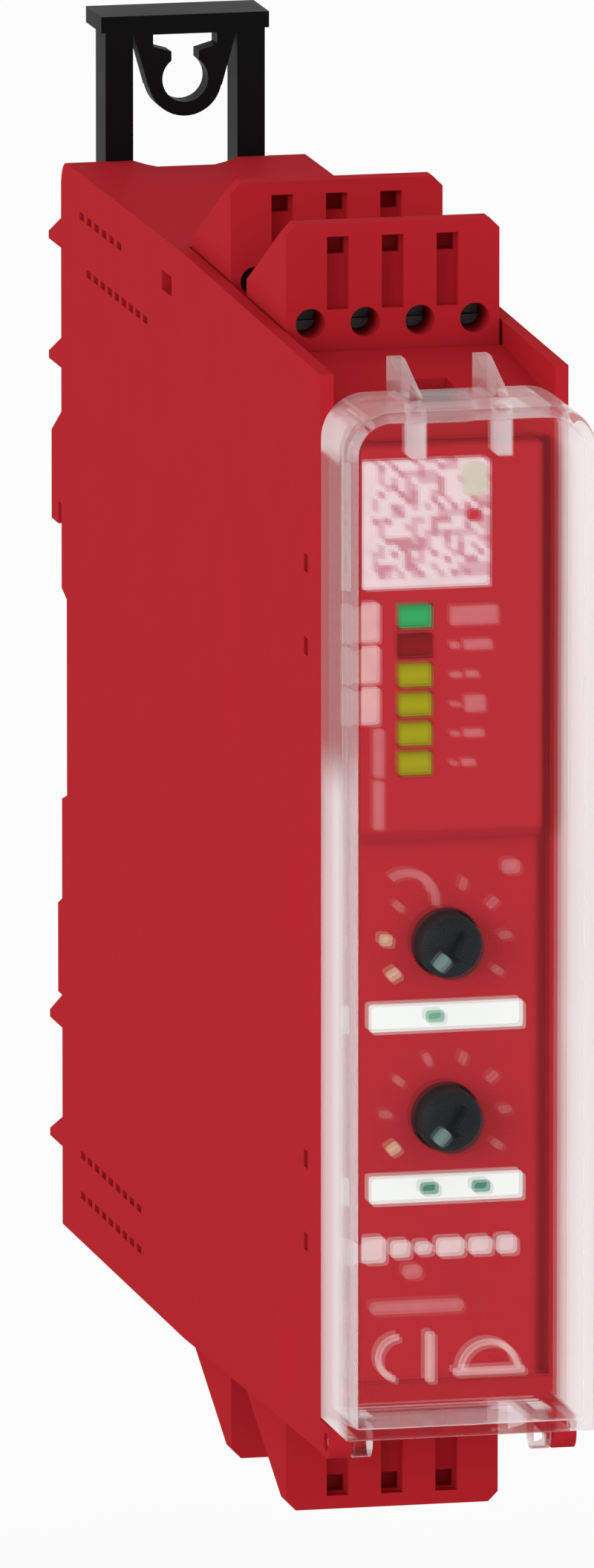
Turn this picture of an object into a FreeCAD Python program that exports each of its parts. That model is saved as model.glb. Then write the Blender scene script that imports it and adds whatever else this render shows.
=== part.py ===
"""Plug-in safety relay in a 22.5 mm housing for a 35 mm mounting rail.

Frame: X across the width, Y from the front towards the rail, Z up. The origin lies on the
plane that seats on the rail, at mid width, at the height of the rail's centre line.
The front faces -Y. Lengths are millimetres.
"""
import FreeCAD
import Part
import os
import Sketcher

SIZES = {
    # housing
    "body_width": 22.5,
    "body_height": 100.0,
    "body_depth": 108.0,
    "side_wall": 1.2,
    "rim_wall": 1.5,
    "back_wall": 4.2,
    "edge_fall": 1.4,
    "flat_depth": 52.0,
    "corner_round": 2.5,
    "running_gap": 0.3,
    "slip_gap": 0.15,
    # 35 mm rail, hooks and guides on the back
    "rail_width": 35.0,
    "rail_thick": 1.0,
    "hook_reach": 4.3,
    "hook_top": 24.0,
    "hook_slope": 2.4,
    "hook_lap": 1.8,
    "seat_length": 7.6,
    "seat_relief": 2.2,
    "guide_reach": 5.4,
    "guide_thick": 2.8,
    "guide_tip": 0.7,
    "guide_low": 31.9,
    "guide_high": 43.1,
    "guide_lip": 1.4,
    "guide_shift": 1.8,
    "lower_pad_reach": 1.8,
    # black slides
    "slide_width": 15.0,
    "slide_thick": 4.2,
    "slide_lift": 13.4,
    "slide_travel": 11.4,
    "leg_width": 2.6,
    "grip_depth": 6.6,
    "grip_thick": 1.5,
    "eyelet_bore": 4.3,
    "eyelet_wall": 1.3,
    "eyelet_thick": 2.4,
    "latch_travel": 4.0,
    "latch_lap": 1.2,
    "spring_turns": 6.0,
    "spring_wire": 0.5,
    "spring_width": 3.0,
    # plug-in terminal blocks
    "pole_pitch": 5.0,
    "plug_depth": 16.0,
    "plug_rise": 8.5,
    "plug_slope": 6.6,
    "plug_land": 2.2,
    "rear_plug_face": 65.0,
    "front_plug_face": 87.5,
    "bay_depth": 17.5,
    "groove_width": 2.0,
    "screw_hole": 2.7,
    "screw_drop": 9.0,
    "funnel_width": 3.6,
    "cage_width": 3.9,
    "pin_width": 1.0,
    "pin_height": 6.5,
    "header_height": 3.0,
    # front
    "nose_edge": 47.0,
    "nose_front_edge": 45.2,
    "panel_width": 16.5,
    "panel_height": 84.6,
    "panel_stand": 0.5,
    "panel_step": 2.0,
    "step_height": 6.8,
    "rebate_width": 1.2,
    "lamp_width": 2.9,
    "lamp_height": 2.0,
    "lamp_pitch": 2.65,
    "lamp_top": 27.1,
    "lamp_offset": 3.25,
    "knob_width": 5.7,
    "knob_stand": 3.3,
    "knob_high": -2.8,
    "knob_low": -18.55,
    # clear cover
    "cover_depth": 12.0,
    "cover_top": 47.0,
    "cover_bottom": 45.4,
    "cover_wall": 1.0,
    "cover_round": 4.0,
    "tab_spacing": 7.8,
    "tab_rise": 2.5,
    "tab_thick": 1.3,
    "tongue_width": 4.4,
    "pivot_drop": 1.8,
    "pivot_stand": 2.4,
    "pivot_width": 1.4,
    "lug_width": 2.0,
    "ear_width": 1.6,
    # boards and parts
    "board_thick": 1.6,
    "board_offset": 1.4,
    "relay_length": 28.0,
    "relay_width": 12.5,
    "relay_height": 15.5,
}

doc = FreeCAD.newDocument("safety_relay")
sheet = doc.addObject("Spreadsheet::Sheet", "Sizes")
for row, (alias, number) in enumerate(SIZES.items(), start=1):
    sheet.set(f"A{row}", alias)
    sheet.set(f"B{row}", str(number))
    sheet.setAlias(f"B{row}", alias)
doc.recompute()


class Size:
    """A length of the sheet, or one worked out from them: its expression and its value."""

    def __init__(self, text, value):
        self.text = text
        self.value = value

    def __add__(self, other):
        other = as_size(other)
        return Size(f"({self.text} + {other.text})", self.value + other.value)

    def __sub__(self, other):
        other = as_size(other)
        return Size(f"({self.text} - {other.text})", self.value - other.value)

    def __mul__(self, other):
        other = as_size(other)
        return Size(f"({self.text} * {other.text})", self.value * other.value)

    def __truediv__(self, other):
        other = as_size(other)
        return Size(f"({self.text} / {other.text})", self.value / other.value)

    def __neg__(self):
        return Size(f"(0 - {self.text})", -self.value)

    def __radd__(self, other):
        return as_size(other) + self

    def __rsub__(self, other):
        return as_size(other) - self

    def __rmul__(self, other):
        return as_size(other) * self


def as_size(number):
    if isinstance(number, Size):
        return number
    return Size(f"({number:.6f})" if number < 0 else f"{number:.6f}", float(number))


def size(alias):
    return Size(f"Sizes.{alias}", float(sheet.get(alias)))


def bind(feature, path, length):
    """Ties one property of a feature to the sheet."""
    feature.setExpression(path, as_size(length).text)


def place(feature, x=0.0, y=0.0, z=0.0):
    for axis, length in (("x", x), ("y", y), ("z", z)):
        bind(feature, f"Placement.Base.{axis}", length)


# ---------------------------------------------------------------- PartDesign helpers

PLANES = {"front": "XZ_Plane", "side": "YZ_Plane", "level": "XY_Plane"}


def new_body(label):
    body = doc.addObject("PartDesign::Body", label)
    body.Label = label
    return body


def new_sketch(body, name, plane, offset):
    """A sketch on one of the body's own planes, moved along that plane's normal."""
    sketch = body.newObject("Sketcher::SketchObject", name)
    role = PLANES[plane]
    sketch.AttachmentSupport = [(next(f for f in body.Origin.OriginFeatures if f.Role == role), "")]
    sketch.MapMode = "FlatFace"
    bind(sketch, "AttachmentOffset.Base.z", offset)
    return sketch


def pin_point(sketch, geo, pos, at, name):
    """Ties a point of the sketch to the two lengths it lies at."""
    for kind, length in (("DistanceX", at[0]), ("DistanceY", at[1])):
        length = as_size(length)
        index = sketch.addConstraint(Sketcher.Constraint(kind, -1, 1, geo, pos, length.value))
        label = f"{name}_{kind[-1].lower()}"
        sketch.renameConstraint(index, label)
        sketch.setExpression(f"Constraints.{label}", length.text)


def draw_loop(sketch, points, tag):
    """A closed run of straight lines through points, each point tied to the sheet."""
    corners = [FreeCAD.Vector(as_size(a).value, as_size(b).value, 0) for a, b in points]
    first = sketch.GeometryCount
    count = len(corners)
    for i in range(count):
        sketch.addGeometry(Part.LineSegment(corners[i], corners[(i + 1) % count]), False)
    for i in range(count):
        sketch.addConstraint(
            Sketcher.Constraint("Coincident", first + i, 2, first + (i + 1) % count, 1)
        )
    for i, point in enumerate(points):
        pin_point(sketch, first + i, 1, point, f"{tag}{i}")


def draw_circle(sketch, centre, diameter, tag):
    diameter = as_size(diameter)
    middle = FreeCAD.Vector(as_size(centre[0]).value, as_size(centre[1]).value, 0)
    geo = sketch.addGeometry(Part.Circle(middle, FreeCAD.Vector(0, 0, 1), diameter.value / 2), False)
    index = sketch.addConstraint(Sketcher.Constraint("Diameter", geo, diameter.value))
    sketch.renameConstraint(index, f"{tag}_d")
    sketch.setExpression(f"Constraints.{tag}_d", diameter.text)
    pin_point(sketch, geo, 3, centre, tag)


def rectangle(x0, z0, x1, z1):
    return [(x0, z0), (x1, z0), (x1, z1), (x0, z1)]


def add_profile(body, kind, name, plane, offset, length, loops=(), circles=(), reverse=False):
    """A Pad or a Pocket of closed loops and circles, drawn at an offset from an origin plane."""
    sketch = new_sketch(body, f"{name}_sketch", plane, offset)
    for i, loop in enumerate(loops):
        draw_loop(sketch, loop, f"p{chr(97 + i)}")
    for i, (centre, diameter) in enumerate(circles):
        draw_circle(sketch, centre, diameter, f"c{chr(97 + i)}")
    feature = body.newObject(f"PartDesign::{kind}", name)
    feature.Profile = sketch
    feature.Reversed = reverse
    bind(feature, "Length", length)
    sketch.Visibility = False
    return feature


def pad(body, name, plane, offset, length, **shape):
    return add_profile(body, "Pad", name, plane, offset, length, **shape)


def pocket(body, name, plane, offset, length, **shape):
    return add_profile(body, "Pocket", name, plane, offset, length, **shape)


def pattern_along(body, feature, name, reach, count):
    """Repeats a feature of the body along the horizontal axis of its own sketch."""
    pattern = body.newObject("PartDesign::LinearPattern", name)
    pattern.Originals = [feature]
    pattern.Direction = (feature.Profile[0], ["H_Axis"])
    pattern.Mode = "Extent"
    bind(pattern, "Length", reach)
    pattern.Occurrences = count
    body.Tip = pattern
    return pattern


def edges_where(feature, test):
    """Names of the edges whose mid point and direction pass a test."""
    names = []
    for number, edge in enumerate(feature.Shape.Edges, start=1):
        middle = edge.valueAt((edge.FirstParameter + edge.LastParameter) / 2)
        span = edge.BoundBox
        if test(middle, span):
            names.append(f"Edge{number}")
    return names


def round_edges(body, name, base, radius, test, kind="Fillet"):
    """A fillet or chamfer on the edges of base that pass a test."""
    doc.recompute()
    feature = body.newObject(f"PartDesign::{kind}", name)
    feature.Base = (base, edges_where(base, test))
    bind(feature, "Radius" if kind == "Fillet" else "Size", radius)
    body.Tip = feature
    return feature


def near(a, b):
    return abs(a - as_size(b).value) < 0.01


# ---------------------------------------------------------------- Part helpers


def box(name, low, high):
    """A box between two corners."""
    solid = doc.addObject("Part::Box", name)
    for prop, a, b in zip(("Length", "Width", "Height"), low, high):
        bind(solid, prop, as_size(b) - a)
    place(solid, *low)
    return solid


TURNS = {
    "x": FreeCAD.Rotation(FreeCAD.Vector(0, 1, 0), 90),
    "y": FreeCAD.Rotation(FreeCAD.Vector(1, 0, 0), -90),
    "z": FreeCAD.Rotation(),
}


def rod(name, start, axis, length, diameter):
    """A cylinder from start along +x, +y or +z."""
    solid = doc.addObject("Part::Cylinder", name)
    solid.Placement = FreeCAD.Placement(FreeCAD.Vector(), TURNS[axis])
    bind(solid, "Radius", as_size(diameter) / 2)
    bind(solid, "Height", length)
    place(solid, *start)
    return solid


def fuse(label, shapes):
    feature = doc.addObject("Part::MultiFuse", label)
    feature.Shapes = shapes
    feature.Label = label
    return feature


def cut(label, base, tools):
    feature = doc.addObject("Part::Cut", label)
    feature.Base = base
    feature.Tool = tools[0] if len(tools) == 1 else fuse(f"{label}_tools", tools)
    feature.Label = label
    return feature


# ---------------------------------------------------------------- shared lengths

width = size("body_width")
height = size("body_height")
depth = size("body_depth")
side_wall = size("side_wall")
rim = size("rim_wall")
gap = size("running_gap")
slip = size("slip_gap")
half_width = width / 2
half_height = height / 2
open_side = half_width - side_wall          # plane where the side cover meets the shell
bay_span = width - side_wall * 2

rail_edge = size("rail_width") / 2
rail_slot = size("rail_thick") + gap
channel = size("slide_width") / 2 + gap     # half width of the channel for both slides
channel_floor = -(size("slide_thick") / 2 + gap)
slide_face = size("slide_thick") / 2

bay_floor = half_height - size("bay_depth")
plug_depth = size("plug_depth")
plug_faces = {"rear": size("rear_plug_face"), "front": size("front_plug_face")}
nose_edge = size("nose_edge")
nose_front = size("nose_front_edge")
POLES = (-1.5, -0.5, 0.5, 1.5)
pitch = size("pole_pitch")
pole_line = plug_depth * 0.54               # depth of the wire entries behind a plug's face

panel_face = depth + size("panel_stand")
panel_top_face = panel_face + size("panel_step")
board_face = depth - 6.6                    # front face of the front board
cover_face = depth + size("cover_depth")
pivot_y = -(depth + size("pivot_stand"))
pivot_z = -(size("cover_bottom") + size("pivot_drop"))
knuckle = (size("pivot_drop") - gap) * 2
board_left = -half_width + side_wall + size("board_offset")
board_right = board_left + size("board_thick")
terminal_board = bay_floor - rim - size("header_height")


def bay(face):
    """Front and back limits of a bay along Y."""
    return -(face + gap), -(face - plug_depth - gap)


def mirrored(points):
    """The same points below the rail's centre line, in reverse order."""
    return [(y, -as_size(z)) for y, z in reversed(points)]


# ---------------------------------------------------------------- housing


def guide_points(top, start=0.0):
    """A guide nub of the back edge from a given depth: sloped above, nearly square below."""
    reach = size("guide_reach")
    fall = (size("guide_thick") - size("guide_tip")) / reach
    return [
        (start, top - fall * start),
        (reach, top - fall * reach),
        (reach, top - size("guide_thick")),
        (start, top - size("guide_thick")),
    ]


def guide_tops():
    """Heights of the four guide nubs' roots, from the top down."""
    half = size("guide_thick") / 2
    shift = size("guide_shift")
    high = size("guide_high")
    low = size("guide_low")
    return [high + half, low + half, -(low - shift) + half, -(high - shift) + half]


def side_outline():
    """Outline of the side walls: sloped front ends, and the rail hooks and guides at the back."""
    front_edge = half_height - size("edge_fall")
    seat = rail_edge - size("seat_length")
    relief = -size("seat_relief")
    reach = size("hook_reach")
    tip = rail_edge - size("hook_lap")
    pad_reach = size("lower_pad_reach")
    tops = guide_tops()
    guides = [guide_points(top) for top in tops]
    return [
        (0, half_height),
        *guides[0],
        *guides[1],
        (0, size("hook_top") + size("hook_slope")),
        (reach, size("hook_top")),
        (reach, tip),
        (rail_slot, tip),
        (rail_slot, rail_edge + gap),
        (0, rail_edge + gap),
        (0, seat),
        (relief, seat - 0.7),
        (relief, -seat + 0.7),
        (0, -seat),
        (0, -(rail_edge + pad_reach)),
        (pad_reach, -(rail_edge + pad_reach * 1.4)),
        (pad_reach, tops[2] + gap),
        (0, tops[2] + gap),
        *guides[2][1:],
        *guides[3],
        (0, -half_height),
        (-size("flat_depth"), -half_height),
        (-depth, -front_edge),
        (-depth, front_edge),
        (-size("flat_depth"), half_height),
    ]


def cavity_outline():
    """Inside of the shell, between the rear wall, the four bays and the front wall."""
    rear_front, rear_back = bay(plug_faces["rear"])
    front_front, front_back = bay(plug_faces["front"])
    top = half_height - rim
    under = bay_floor - rim
    upper = [
        (-size("back_wall"), top),
        (rear_back + rim, top),
        (rear_back + rim, under),
        (rear_front - rim, under),
        (rear_front - rim, nose_edge - rim),
        (front_back + rim, nose_edge - rim),
        (front_back + rim, under),
        (front_front - rim, under),
        (front_front - rim, nose_edge - rim),
        (-(depth - rim), nose_front - rim),
    ]
    return upper + mirrored(upper)


def bay_outline():
    """Everything open to the top between the side walls: two bays, the bridge and the nose."""
    rear_front, rear_back = bay(plug_faces["rear"])
    front_front, front_back = bay(plug_faces["front"])
    beyond = half_height + 5
    return [
        (rear_back, beyond),
        (rear_back, bay_floor),
        (rear_front, bay_floor),
        (rear_front, nose_edge),
        (front_back, nose_edge),
        (front_back, bay_floor),
        (front_front, bay_floor),
        (front_front, nose_edge),
        (-depth, nose_front),
        (-depth, beyond),
    ]


def post_places():
    """Where the side cover's pegs plug into the shell."""
    tall = half_height - rim - 3.2
    rear_back = bay(plug_faces["rear"])[1]
    nose_back = bay(plug_faces["front"])[0] - rim
    places = []
    for sign in (1, -1):
        places.append((-size("back_wall") - 3.2, tall * sign))
        places.append((rear_back + rim + 3.2, tall * sign))
        places.append((nose_back - 2.6, (bay_floor + 4) * sign))
    return places


SNAP_LEVELS = (30.7, 23.2, -23.2, -30.7)
SNAP_BACK = 5.0         # from the front edge to the snap windows
SNAP_HEIGHT = 1.6
PRY_BACK = 43.0         # slot for a tool that parts the two halves, near the top of the shell
PRY_LENGTH = 4.2
PRY_HEIGHT = 1.8
pry_low = half_height - 4.8


def snap_windows():
    """Small square windows behind the front edge of each side wall."""
    front = -depth + SNAP_BACK
    half = SNAP_HEIGHT / 2
    return [rectangle(front, z - half, front + SNAP_HEIGHT, z + half) for z in SNAP_LEVELS]


# each row: first slot's distance from the back, distance in from the top or bottom, reach, slots
VENT_ROWS = [(8.0, 3.9, 16.0, 6), (11.0, 8.8, 24.0, 9), (8.0, -8.2, 24.0, 9), (8.0, -4.4, 24.0, 9)]
VENT_LENGTH = 1.9
VENT_HEIGHT = 0.7


def cut_vents(body, prefix, offset, length):
    """Rows of ventilation slots near the back corners of a side wall."""
    for number, (start, inset, reach, count) in enumerate(VENT_ROWS, start=1):
        z = half_height - inset if inset > 0 else -half_height - inset
        half = VENT_HEIGHT / 2
        slot = pocket(
            body, f"{prefix}_vent_{number}", "side", offset, length,
            loops=[rectangle(-start, z - half, -start - VENT_LENGTH, z + half)],
        )
        row = pattern_along(body, slot, f"{prefix}_vents_{number}", reach, count)
        row.Reversed = True


def add_lug(body, prefix, offset):
    """Hinge lug of the clear cover at the lower front corner of a side wall."""
    lug = size("lug_width")
    radius = knuckle / 2
    pad(
        body, f"{prefix}_lug_arm", "side", offset, lug,
        loops=[rectangle(-depth, pivot_z - radius, pivot_y, pivot_z + radius)],
    )
    pad(body, f"{prefix}_lug_eye", "side", offset, lug, circles=[((pivot_y, pivot_z), knuckle)])
    bore = size("pivot_width") + slip * 2
    return pocket(
        body, f"{prefix}_lug_bore", "side", offset + lug, lug,
        circles=[((pivot_y, pivot_z), bore)],
    )


def round_back_corner(body, prefix, base):
    """Rounds the upper back corner of a side wall."""
    return round_edges(
        body, f"{prefix}_back_round", base, size("corner_round"),
        lambda middle, span: near(middle.y, 0) and near(middle.z, half_height) and span.XLength > 1,
    )


SCOOP_WIDTH = 28.0      # finger scoop in the top edge, behind the slide's grip
SCOOP_SINK = 0.9
SCOOP_DEPTH = 6.0
POST_WIDTH = 4.4
PEG_WIDTH = 2.0
PIN_HOLE = 1.9


def housing_shell():
    """Moulded tray: left wall, rim, four terminal bays, rail hooks and slide channels."""
    body = new_body("housing_shell")
    block = pad(
        body, "shell_block", "side", -half_width, width - side_wall, loops=[side_outline()]
    )
    round_back_corner(body, "shell", block)
    pocket(
        body, "shell_hollow", "side", open_side, bay_span,
        loops=[cavity_outline(), bay_outline(), mirrored(bay_outline())],
    )
    far = size("guide_reach") + 2
    tall = half_height + 5
    pocket(
        body, "shell_back_clear", "front", -far, far, reverse=True,
        loops=[rectangle(-channel, -tall, channel, tall)],
    )
    rest = rail_edge + gap * 2
    pocket(
        body, "shell_channels", "front", 0, -channel_floor, reverse=True,
        loops=[rectangle(-channel, rest, channel, tall), rectangle(-channel, -tall, channel, -rest)],
    )
    lips = [guide_points(top, slide_face + gap) for top in guide_tops()]
    lip = size("guide_lip") + 1
    pad(body, "shell_left_lips", "side", -channel - 1, lip, loops=lips)
    pad(body, "shell_right_lips", "side", channel + 1 - lip, lip, loops=lips)
    peg_top, peg_low = spring_seat()
    pad(
        body, "shell_spring_peg", "front", -channel_floor, slide_face - channel_floor, reverse=True,
        loops=[rectangle(-1.2, peg_low, 1.2, peg_top)],
    )
    pocket(
        body, "shell_scoop", "front", 0, SCOOP_DEPTH, reverse=True,
        circles=[((0, half_height + SCOOP_WIDTH / 2 - SCOOP_SINK), SCOOP_WIDTH)],
    )
    add_panel_seat(body)
    places = post_places()
    pad(
        body, "shell_posts", "side", -half_width + side_wall, bay_span,
        circles=[(at, POST_WIDTH) for at in places],
    )
    pocket(
        body, "shell_post_bores", "side", open_side, 6,
        circles=[(at, PEG_WIDTH + slip * 2) for at in places],
    )
    pin_holes = [
        ((pitch * pole, -face + pole_line), PIN_HOLE)
        for face in plug_faces.values()
        for pole in POLES
    ]
    pocket(body, "shell_pin_holes", "level", bay_floor, rim, circles=pin_holes)
    pocket(body, "shell_lower_pin_holes", "level", -bay_floor, rim, reverse=True, circles=pin_holes)
    pocket(
        body, "shell_snap_windows", "side", -half_width + side_wall, side_wall, loops=snap_windows()
    )
    pocket(
        body, "shell_pry_slot", "side", -half_width + side_wall, side_wall,
        loops=[rectangle(-PRY_BACK - PRY_LENGTH, pry_low, -PRY_BACK, pry_low + PRY_HEIGHT)],
    )
    cut_vents(body, "shell", -half_width + side_wall, side_wall)
    add_lug(body, "shell", -half_width)
    return body


REBATE_DEPTH = 0.9
LATCH_WINDOW = 10.0     # how far back the opening for the cover's tongue runs


def add_panel_seat(body):
    """Opening of the front panel, its shallow rebate, and the notch for the cover's tongue."""
    half = size("panel_width") / 2 + slip
    tall = size("panel_height") / 2 + slip
    side = half + size("rebate_width")
    pocket(
        body, "shell_panel_opening", "front", depth, rim * 2,
        loops=[rectangle(-half, -tall, half, tall)],
    )
    pocket(
        body, "shell_panel_rebate", "front", depth, REBATE_DEPTH,
        loops=[rectangle(-side, -tall, side, tall)],
    )
    window = size("tongue_width") / 2 + gap
    front_wall = 1.2
    pocket(
        body, "shell_latch_window", "level", half_height, half_height - nose_front + 3,
        loops=[rectangle(-window, -depth + front_wall, window, -depth + LATCH_WINDOW)],
    )
    pocket(
        body, "shell_latch_notch", "level", half_height, half_height - nose_front + 0.7,
        loops=[rectangle(-window, -depth, window, -depth + front_wall + 0.1)],
    )


def side_cover():
    """Right side wall: a plate with the same outline, plugged into the shell by six pegs."""
    body = new_body("side_cover")
    plate = pad(body, "cover_plate", "side", open_side, side_wall, loops=[side_outline()])
    round_back_corner(body, "plate", plate)
    pad(
        body, "plate_pegs", "side", open_side, 4, reverse=True,
        circles=[(at, PEG_WIDTH) for at in post_places()],
    )
    pocket(body, "plate_snap_windows", "side", half_width, side_wall, loops=snap_windows())
    cut_vents(body, "plate", half_width, side_wall)
    add_lug(body, "plate", half_width - size("lug_width"))
    return body


def front_panel():
    """Inset front plate: flange behind the wall, lamp windows, dial openings, raised upper part."""
    body = new_body("front_panel")
    half = size("panel_width") / 2
    tall = size("panel_height") / 2
    flange = 1.0
    back = depth - 3.4
    pad(
        body, "panel_flange", "front", back, 3.4 - rim - gap,
        loops=[rectangle(-half - flange, -tall - flange, half + flange, tall + flange)],
    )
    pad(
        body, "panel_plate", "front", back, panel_face - back,
        loops=[rectangle(-half, -tall, half, tall)],
    )
    raised = pad(
        body, "panel_raised", "front", panel_face, size("panel_step"),
        loops=[rectangle(-half, size("step_height"), half, tall)],
    )
    step = as_size(size("step_height")).value
    round_edges(
        body, "panel_step_bevel", raised, 1.0,
        lambda middle, span: near(middle.y, -panel_top_face) and near(middle.z, step),
        kind="Chamfer",
    )
    thick = panel_top_face - back
    pocket(body, "panel_lamp_windows", "front", panel_top_face, thick, loops=lamp_loops(slip))
    dial = size("knob_width") + gap * 2
    pocket(
        body, "panel_dial_openings", "front", panel_top_face, thick,
        circles=[((0, size(name)), dial) for name in ("knob_high", "knob_low")],
    )
    return body


def lamp_loops(margin, numbers=range(6)):
    """Outlines of the chosen lamps in the row, widened by a margin."""
    half_w = size("lamp_width") / 2 + margin
    half_h = size("lamp_height") / 2 + margin
    x = -size("lamp_offset")
    loops = []
    for i in numbers:
        z = size("lamp_top") - size("lamp_pitch") * i
        loops.append(rectangle(x - half_w, z - half_h, x + half_w, z + half_h))
    return loops


# ---------------------------------------------------------------- clear cover


def clear_cover():
    """Clear tray over the front, hinged at its lower corners, with two grip ribs on top."""
    body = new_body("clear_cover")
    top = size("cover_top")
    bottom = -size("cover_bottom")
    wall = size("cover_wall")
    back = depth + gap
    block = pad(
        body, "cover_block", "front", back, cover_face - back,
        loops=[rectangle(-half_width, bottom, half_width, top)],
    )
    corners = round_edges(
        body, "cover_corners", block, size("cover_round"),
        lambda middle, span: near(middle.z, top) and span.YLength > 5,
    )
    rounded = round_edges(
        body, "cover_front_round", corners, wall + 0.3,
        lambda middle, span: near(middle.y, -cover_face),
    )
    doc.recompute()
    tray = body.newObject("PartDesign::Thickness", "cover_tray")
    open_face = [
        f"Face{i}"
        for i, face in enumerate(rounded.Shape.Faces, start=1)
        if near(face.CenterOfMass.y, -back) and face.BoundBox.YLength < 0.01
    ]
    tray.Base = (rounded, open_face)
    tray.Reversed = True
    bind(tray, "Value", wall)
    body.Tip = tray
    rise = top + size("tab_rise")
    rib_back = -depth + 3.2
    rib_front = -depth - 5.0
    hook_front = -depth - 6.8
    hook_low = top - 5.0
    rib = [
        (rib_back, top - wall + 0.2),
        (rib_back, rise),
        (rib_back - 1.8, rise),
        (rib_front, top + 0.4),
        (hook_front, top - wall + 0.2),
        (hook_front, hook_low),
        (hook_front + 2.8, hook_low),
        (rib_front + 1.2, top - wall + 0.2),
    ]
    thick = size("tab_thick")
    spacing = size("tab_spacing")
    pad(body, "cover_left_rib", "side", -(spacing + thick) / 2, thick, loops=[rib])
    pad(body, "cover_right_rib", "side", (spacing - thick) / 2, thick, loops=[rib])
    tongue = size("tongue_width") / 2
    pad(
        body, "cover_tongue", "level", nose_front - 0.4, top - wall - nose_front + 0.8,
        loops=[rectangle(-tongue, -back - wall, tongue, -depth + 1.5)],
    )
    inner = half_width - size("lug_width") - gap
    radius = knuckle / 2
    ear = size("ear_width")
    ears = (("left", -inner, -half_width + gap), ("right", inner - ear, inner - ear / 2))
    for tag, start, pin_start in ears:
        pad(
            body, f"cover_{tag}_ear_arm", "side", start, ear,
            loops=[rectangle(pivot_y - radius, pivot_z, pivot_y + radius, bottom + wall * 0.5)],
        )
        pad(body, f"cover_{tag}_ear", "side", start, ear, circles=[((pivot_y, pivot_z), knuckle)])
        pad(
            body, f"cover_{tag}_pin", "side", pin_start, half_width - gap - inner + ear / 2,
            circles=[((pivot_y, pivot_z), size("pivot_width"))],
        )
    return body


# ---------------------------------------------------------------- black slides


def slide_top():
    return half_height + size("slide_lift")


def mounting_slide():
    """Upper slide: a frame on two legs, a grip along the top and a keyhole screw eyelet."""
    body = new_body("mounting_slide")
    half = size("slide_width") / 2
    leg = size("leg_width")
    top = slide_top()
    grip = size("grip_thick")
    low = rail_edge + gap * 3 + size("slide_travel")
    inside = half - leg
    frame = pad(
        body, "slide_frame", "front", -slide_face, size("slide_thick"),
        loops=[rectangle(-half, low, half, top), rectangle(-inside, low + 2.2, inside, top - grip)],
    )
    round_edges(
        body, "slide_leg_ends", frame, 1.2,
        lambda middle, span: near(middle.z, low) and near(abs(middle.x), half) and span.YLength > 1,
    )
    pad(
        body, "slide_grip", "level", top - grip, grip,
        loops=[rectangle(-half - 0.4, -slide_face, half + 0.4, size("grip_depth") - slide_face)],
    )
    eye = size("eyelet_bore")
    ring = eye + size("eyelet_wall") * 2
    middle = half_height + size("slide_lift") - grip - eye - 0.2
    thick = size("eyelet_thick")
    web_low = middle - ring * 0.1
    pad(
        body, "slide_web", "front", slide_face - thick, thick,
        loops=[[(-inside, top - grip), (-ring / 2, web_low), (ring / 2, web_low), (inside, top - grip)]],
    )
    pad(body, "slide_ring", "front", slide_face - thick, thick, circles=[((0, middle), ring)])
    pocket(body, "slide_eyelet", "front", slide_face, thick, circles=[((0, middle), eye)])
    neck = eye * 0.3
    shoulder = middle + eye * 0.6
    pocket(
        body, "slide_keyhole", "front", slide_face, thick,
        loops=[[
            (-neck, middle), (neck, middle), (neck, shoulder), (eye * 0.7, shoulder + 0.5),
            (eye * 0.7, top - grip - 0.3), (-eye * 0.7, top - grip - 0.3),
            (-eye * 0.7, shoulder + 0.5), (-neck, shoulder),
        ]],
    )
    return body


def latch_heights():
    """Upper edge of the latch plate, its lower edge, and the two ends of its spring slot."""
    upper = -(rail_edge + gap * 2 + 1.9)
    lower = -(half_height + 0.6)
    slot_low = lower + 2.0
    slot_top = slot_low + 10.6
    return upper, lower, slot_top, slot_low


def spring_seat():
    """Top and bottom of the fixed peg that carries the spring."""
    slot_low = latch_heights()[3]
    top = slot_low + 2.6
    return top, top - 1.2


def rail_latch():
    """Lower slide: plate with a nose behind the rail, a spring slot and a pull tab."""
    body = new_body("rail_latch")
    half = size("slide_width") / 2
    upper, lower, slot_top, slot_low = latch_heights()
    pad(
        body, "latch_plate", "front", -slide_face, size("slide_thick"),
        loops=[rectangle(-half, lower, half, upper)],
    )
    tip = -(rail_edge - size("latch_lap"))
    nose_half = channel - size("guide_lip") - gap
    reach = size("hook_reach")
    pad(
        body, "latch_nose", "side", -nose_half, nose_half * 2,
        loops=[[
            (rail_slot, tip), (reach * 0.6, tip), (reach, tip - 1.6), (reach, upper - 3.5),
            (slide_face * 0.5, upper - 5.5), (slide_face * 0.5, upper - 0.5), (rail_slot, upper - 0.5),
        ]],
    )
    pad(
        body, "latch_tab", "front", -slide_face, size("slide_thick"),
        loops=[rectangle(-half * 0.5, lower - 2.4, half * 0.5, lower + 1)],
    )
    pocket(
        body, "latch_spring_slot", "front", slide_face, size("slide_thick"),
        loops=[rectangle(-2.0, slot_low, 2.0, slot_top)],
    )
    pocket(
        body, "latch_tool_slot", "front", slide_face, size("slide_thick"),
        loops=[rectangle(-2.0, lower - 1.4, 2.0, lower - 0.2)],
    )
    return body


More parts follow.
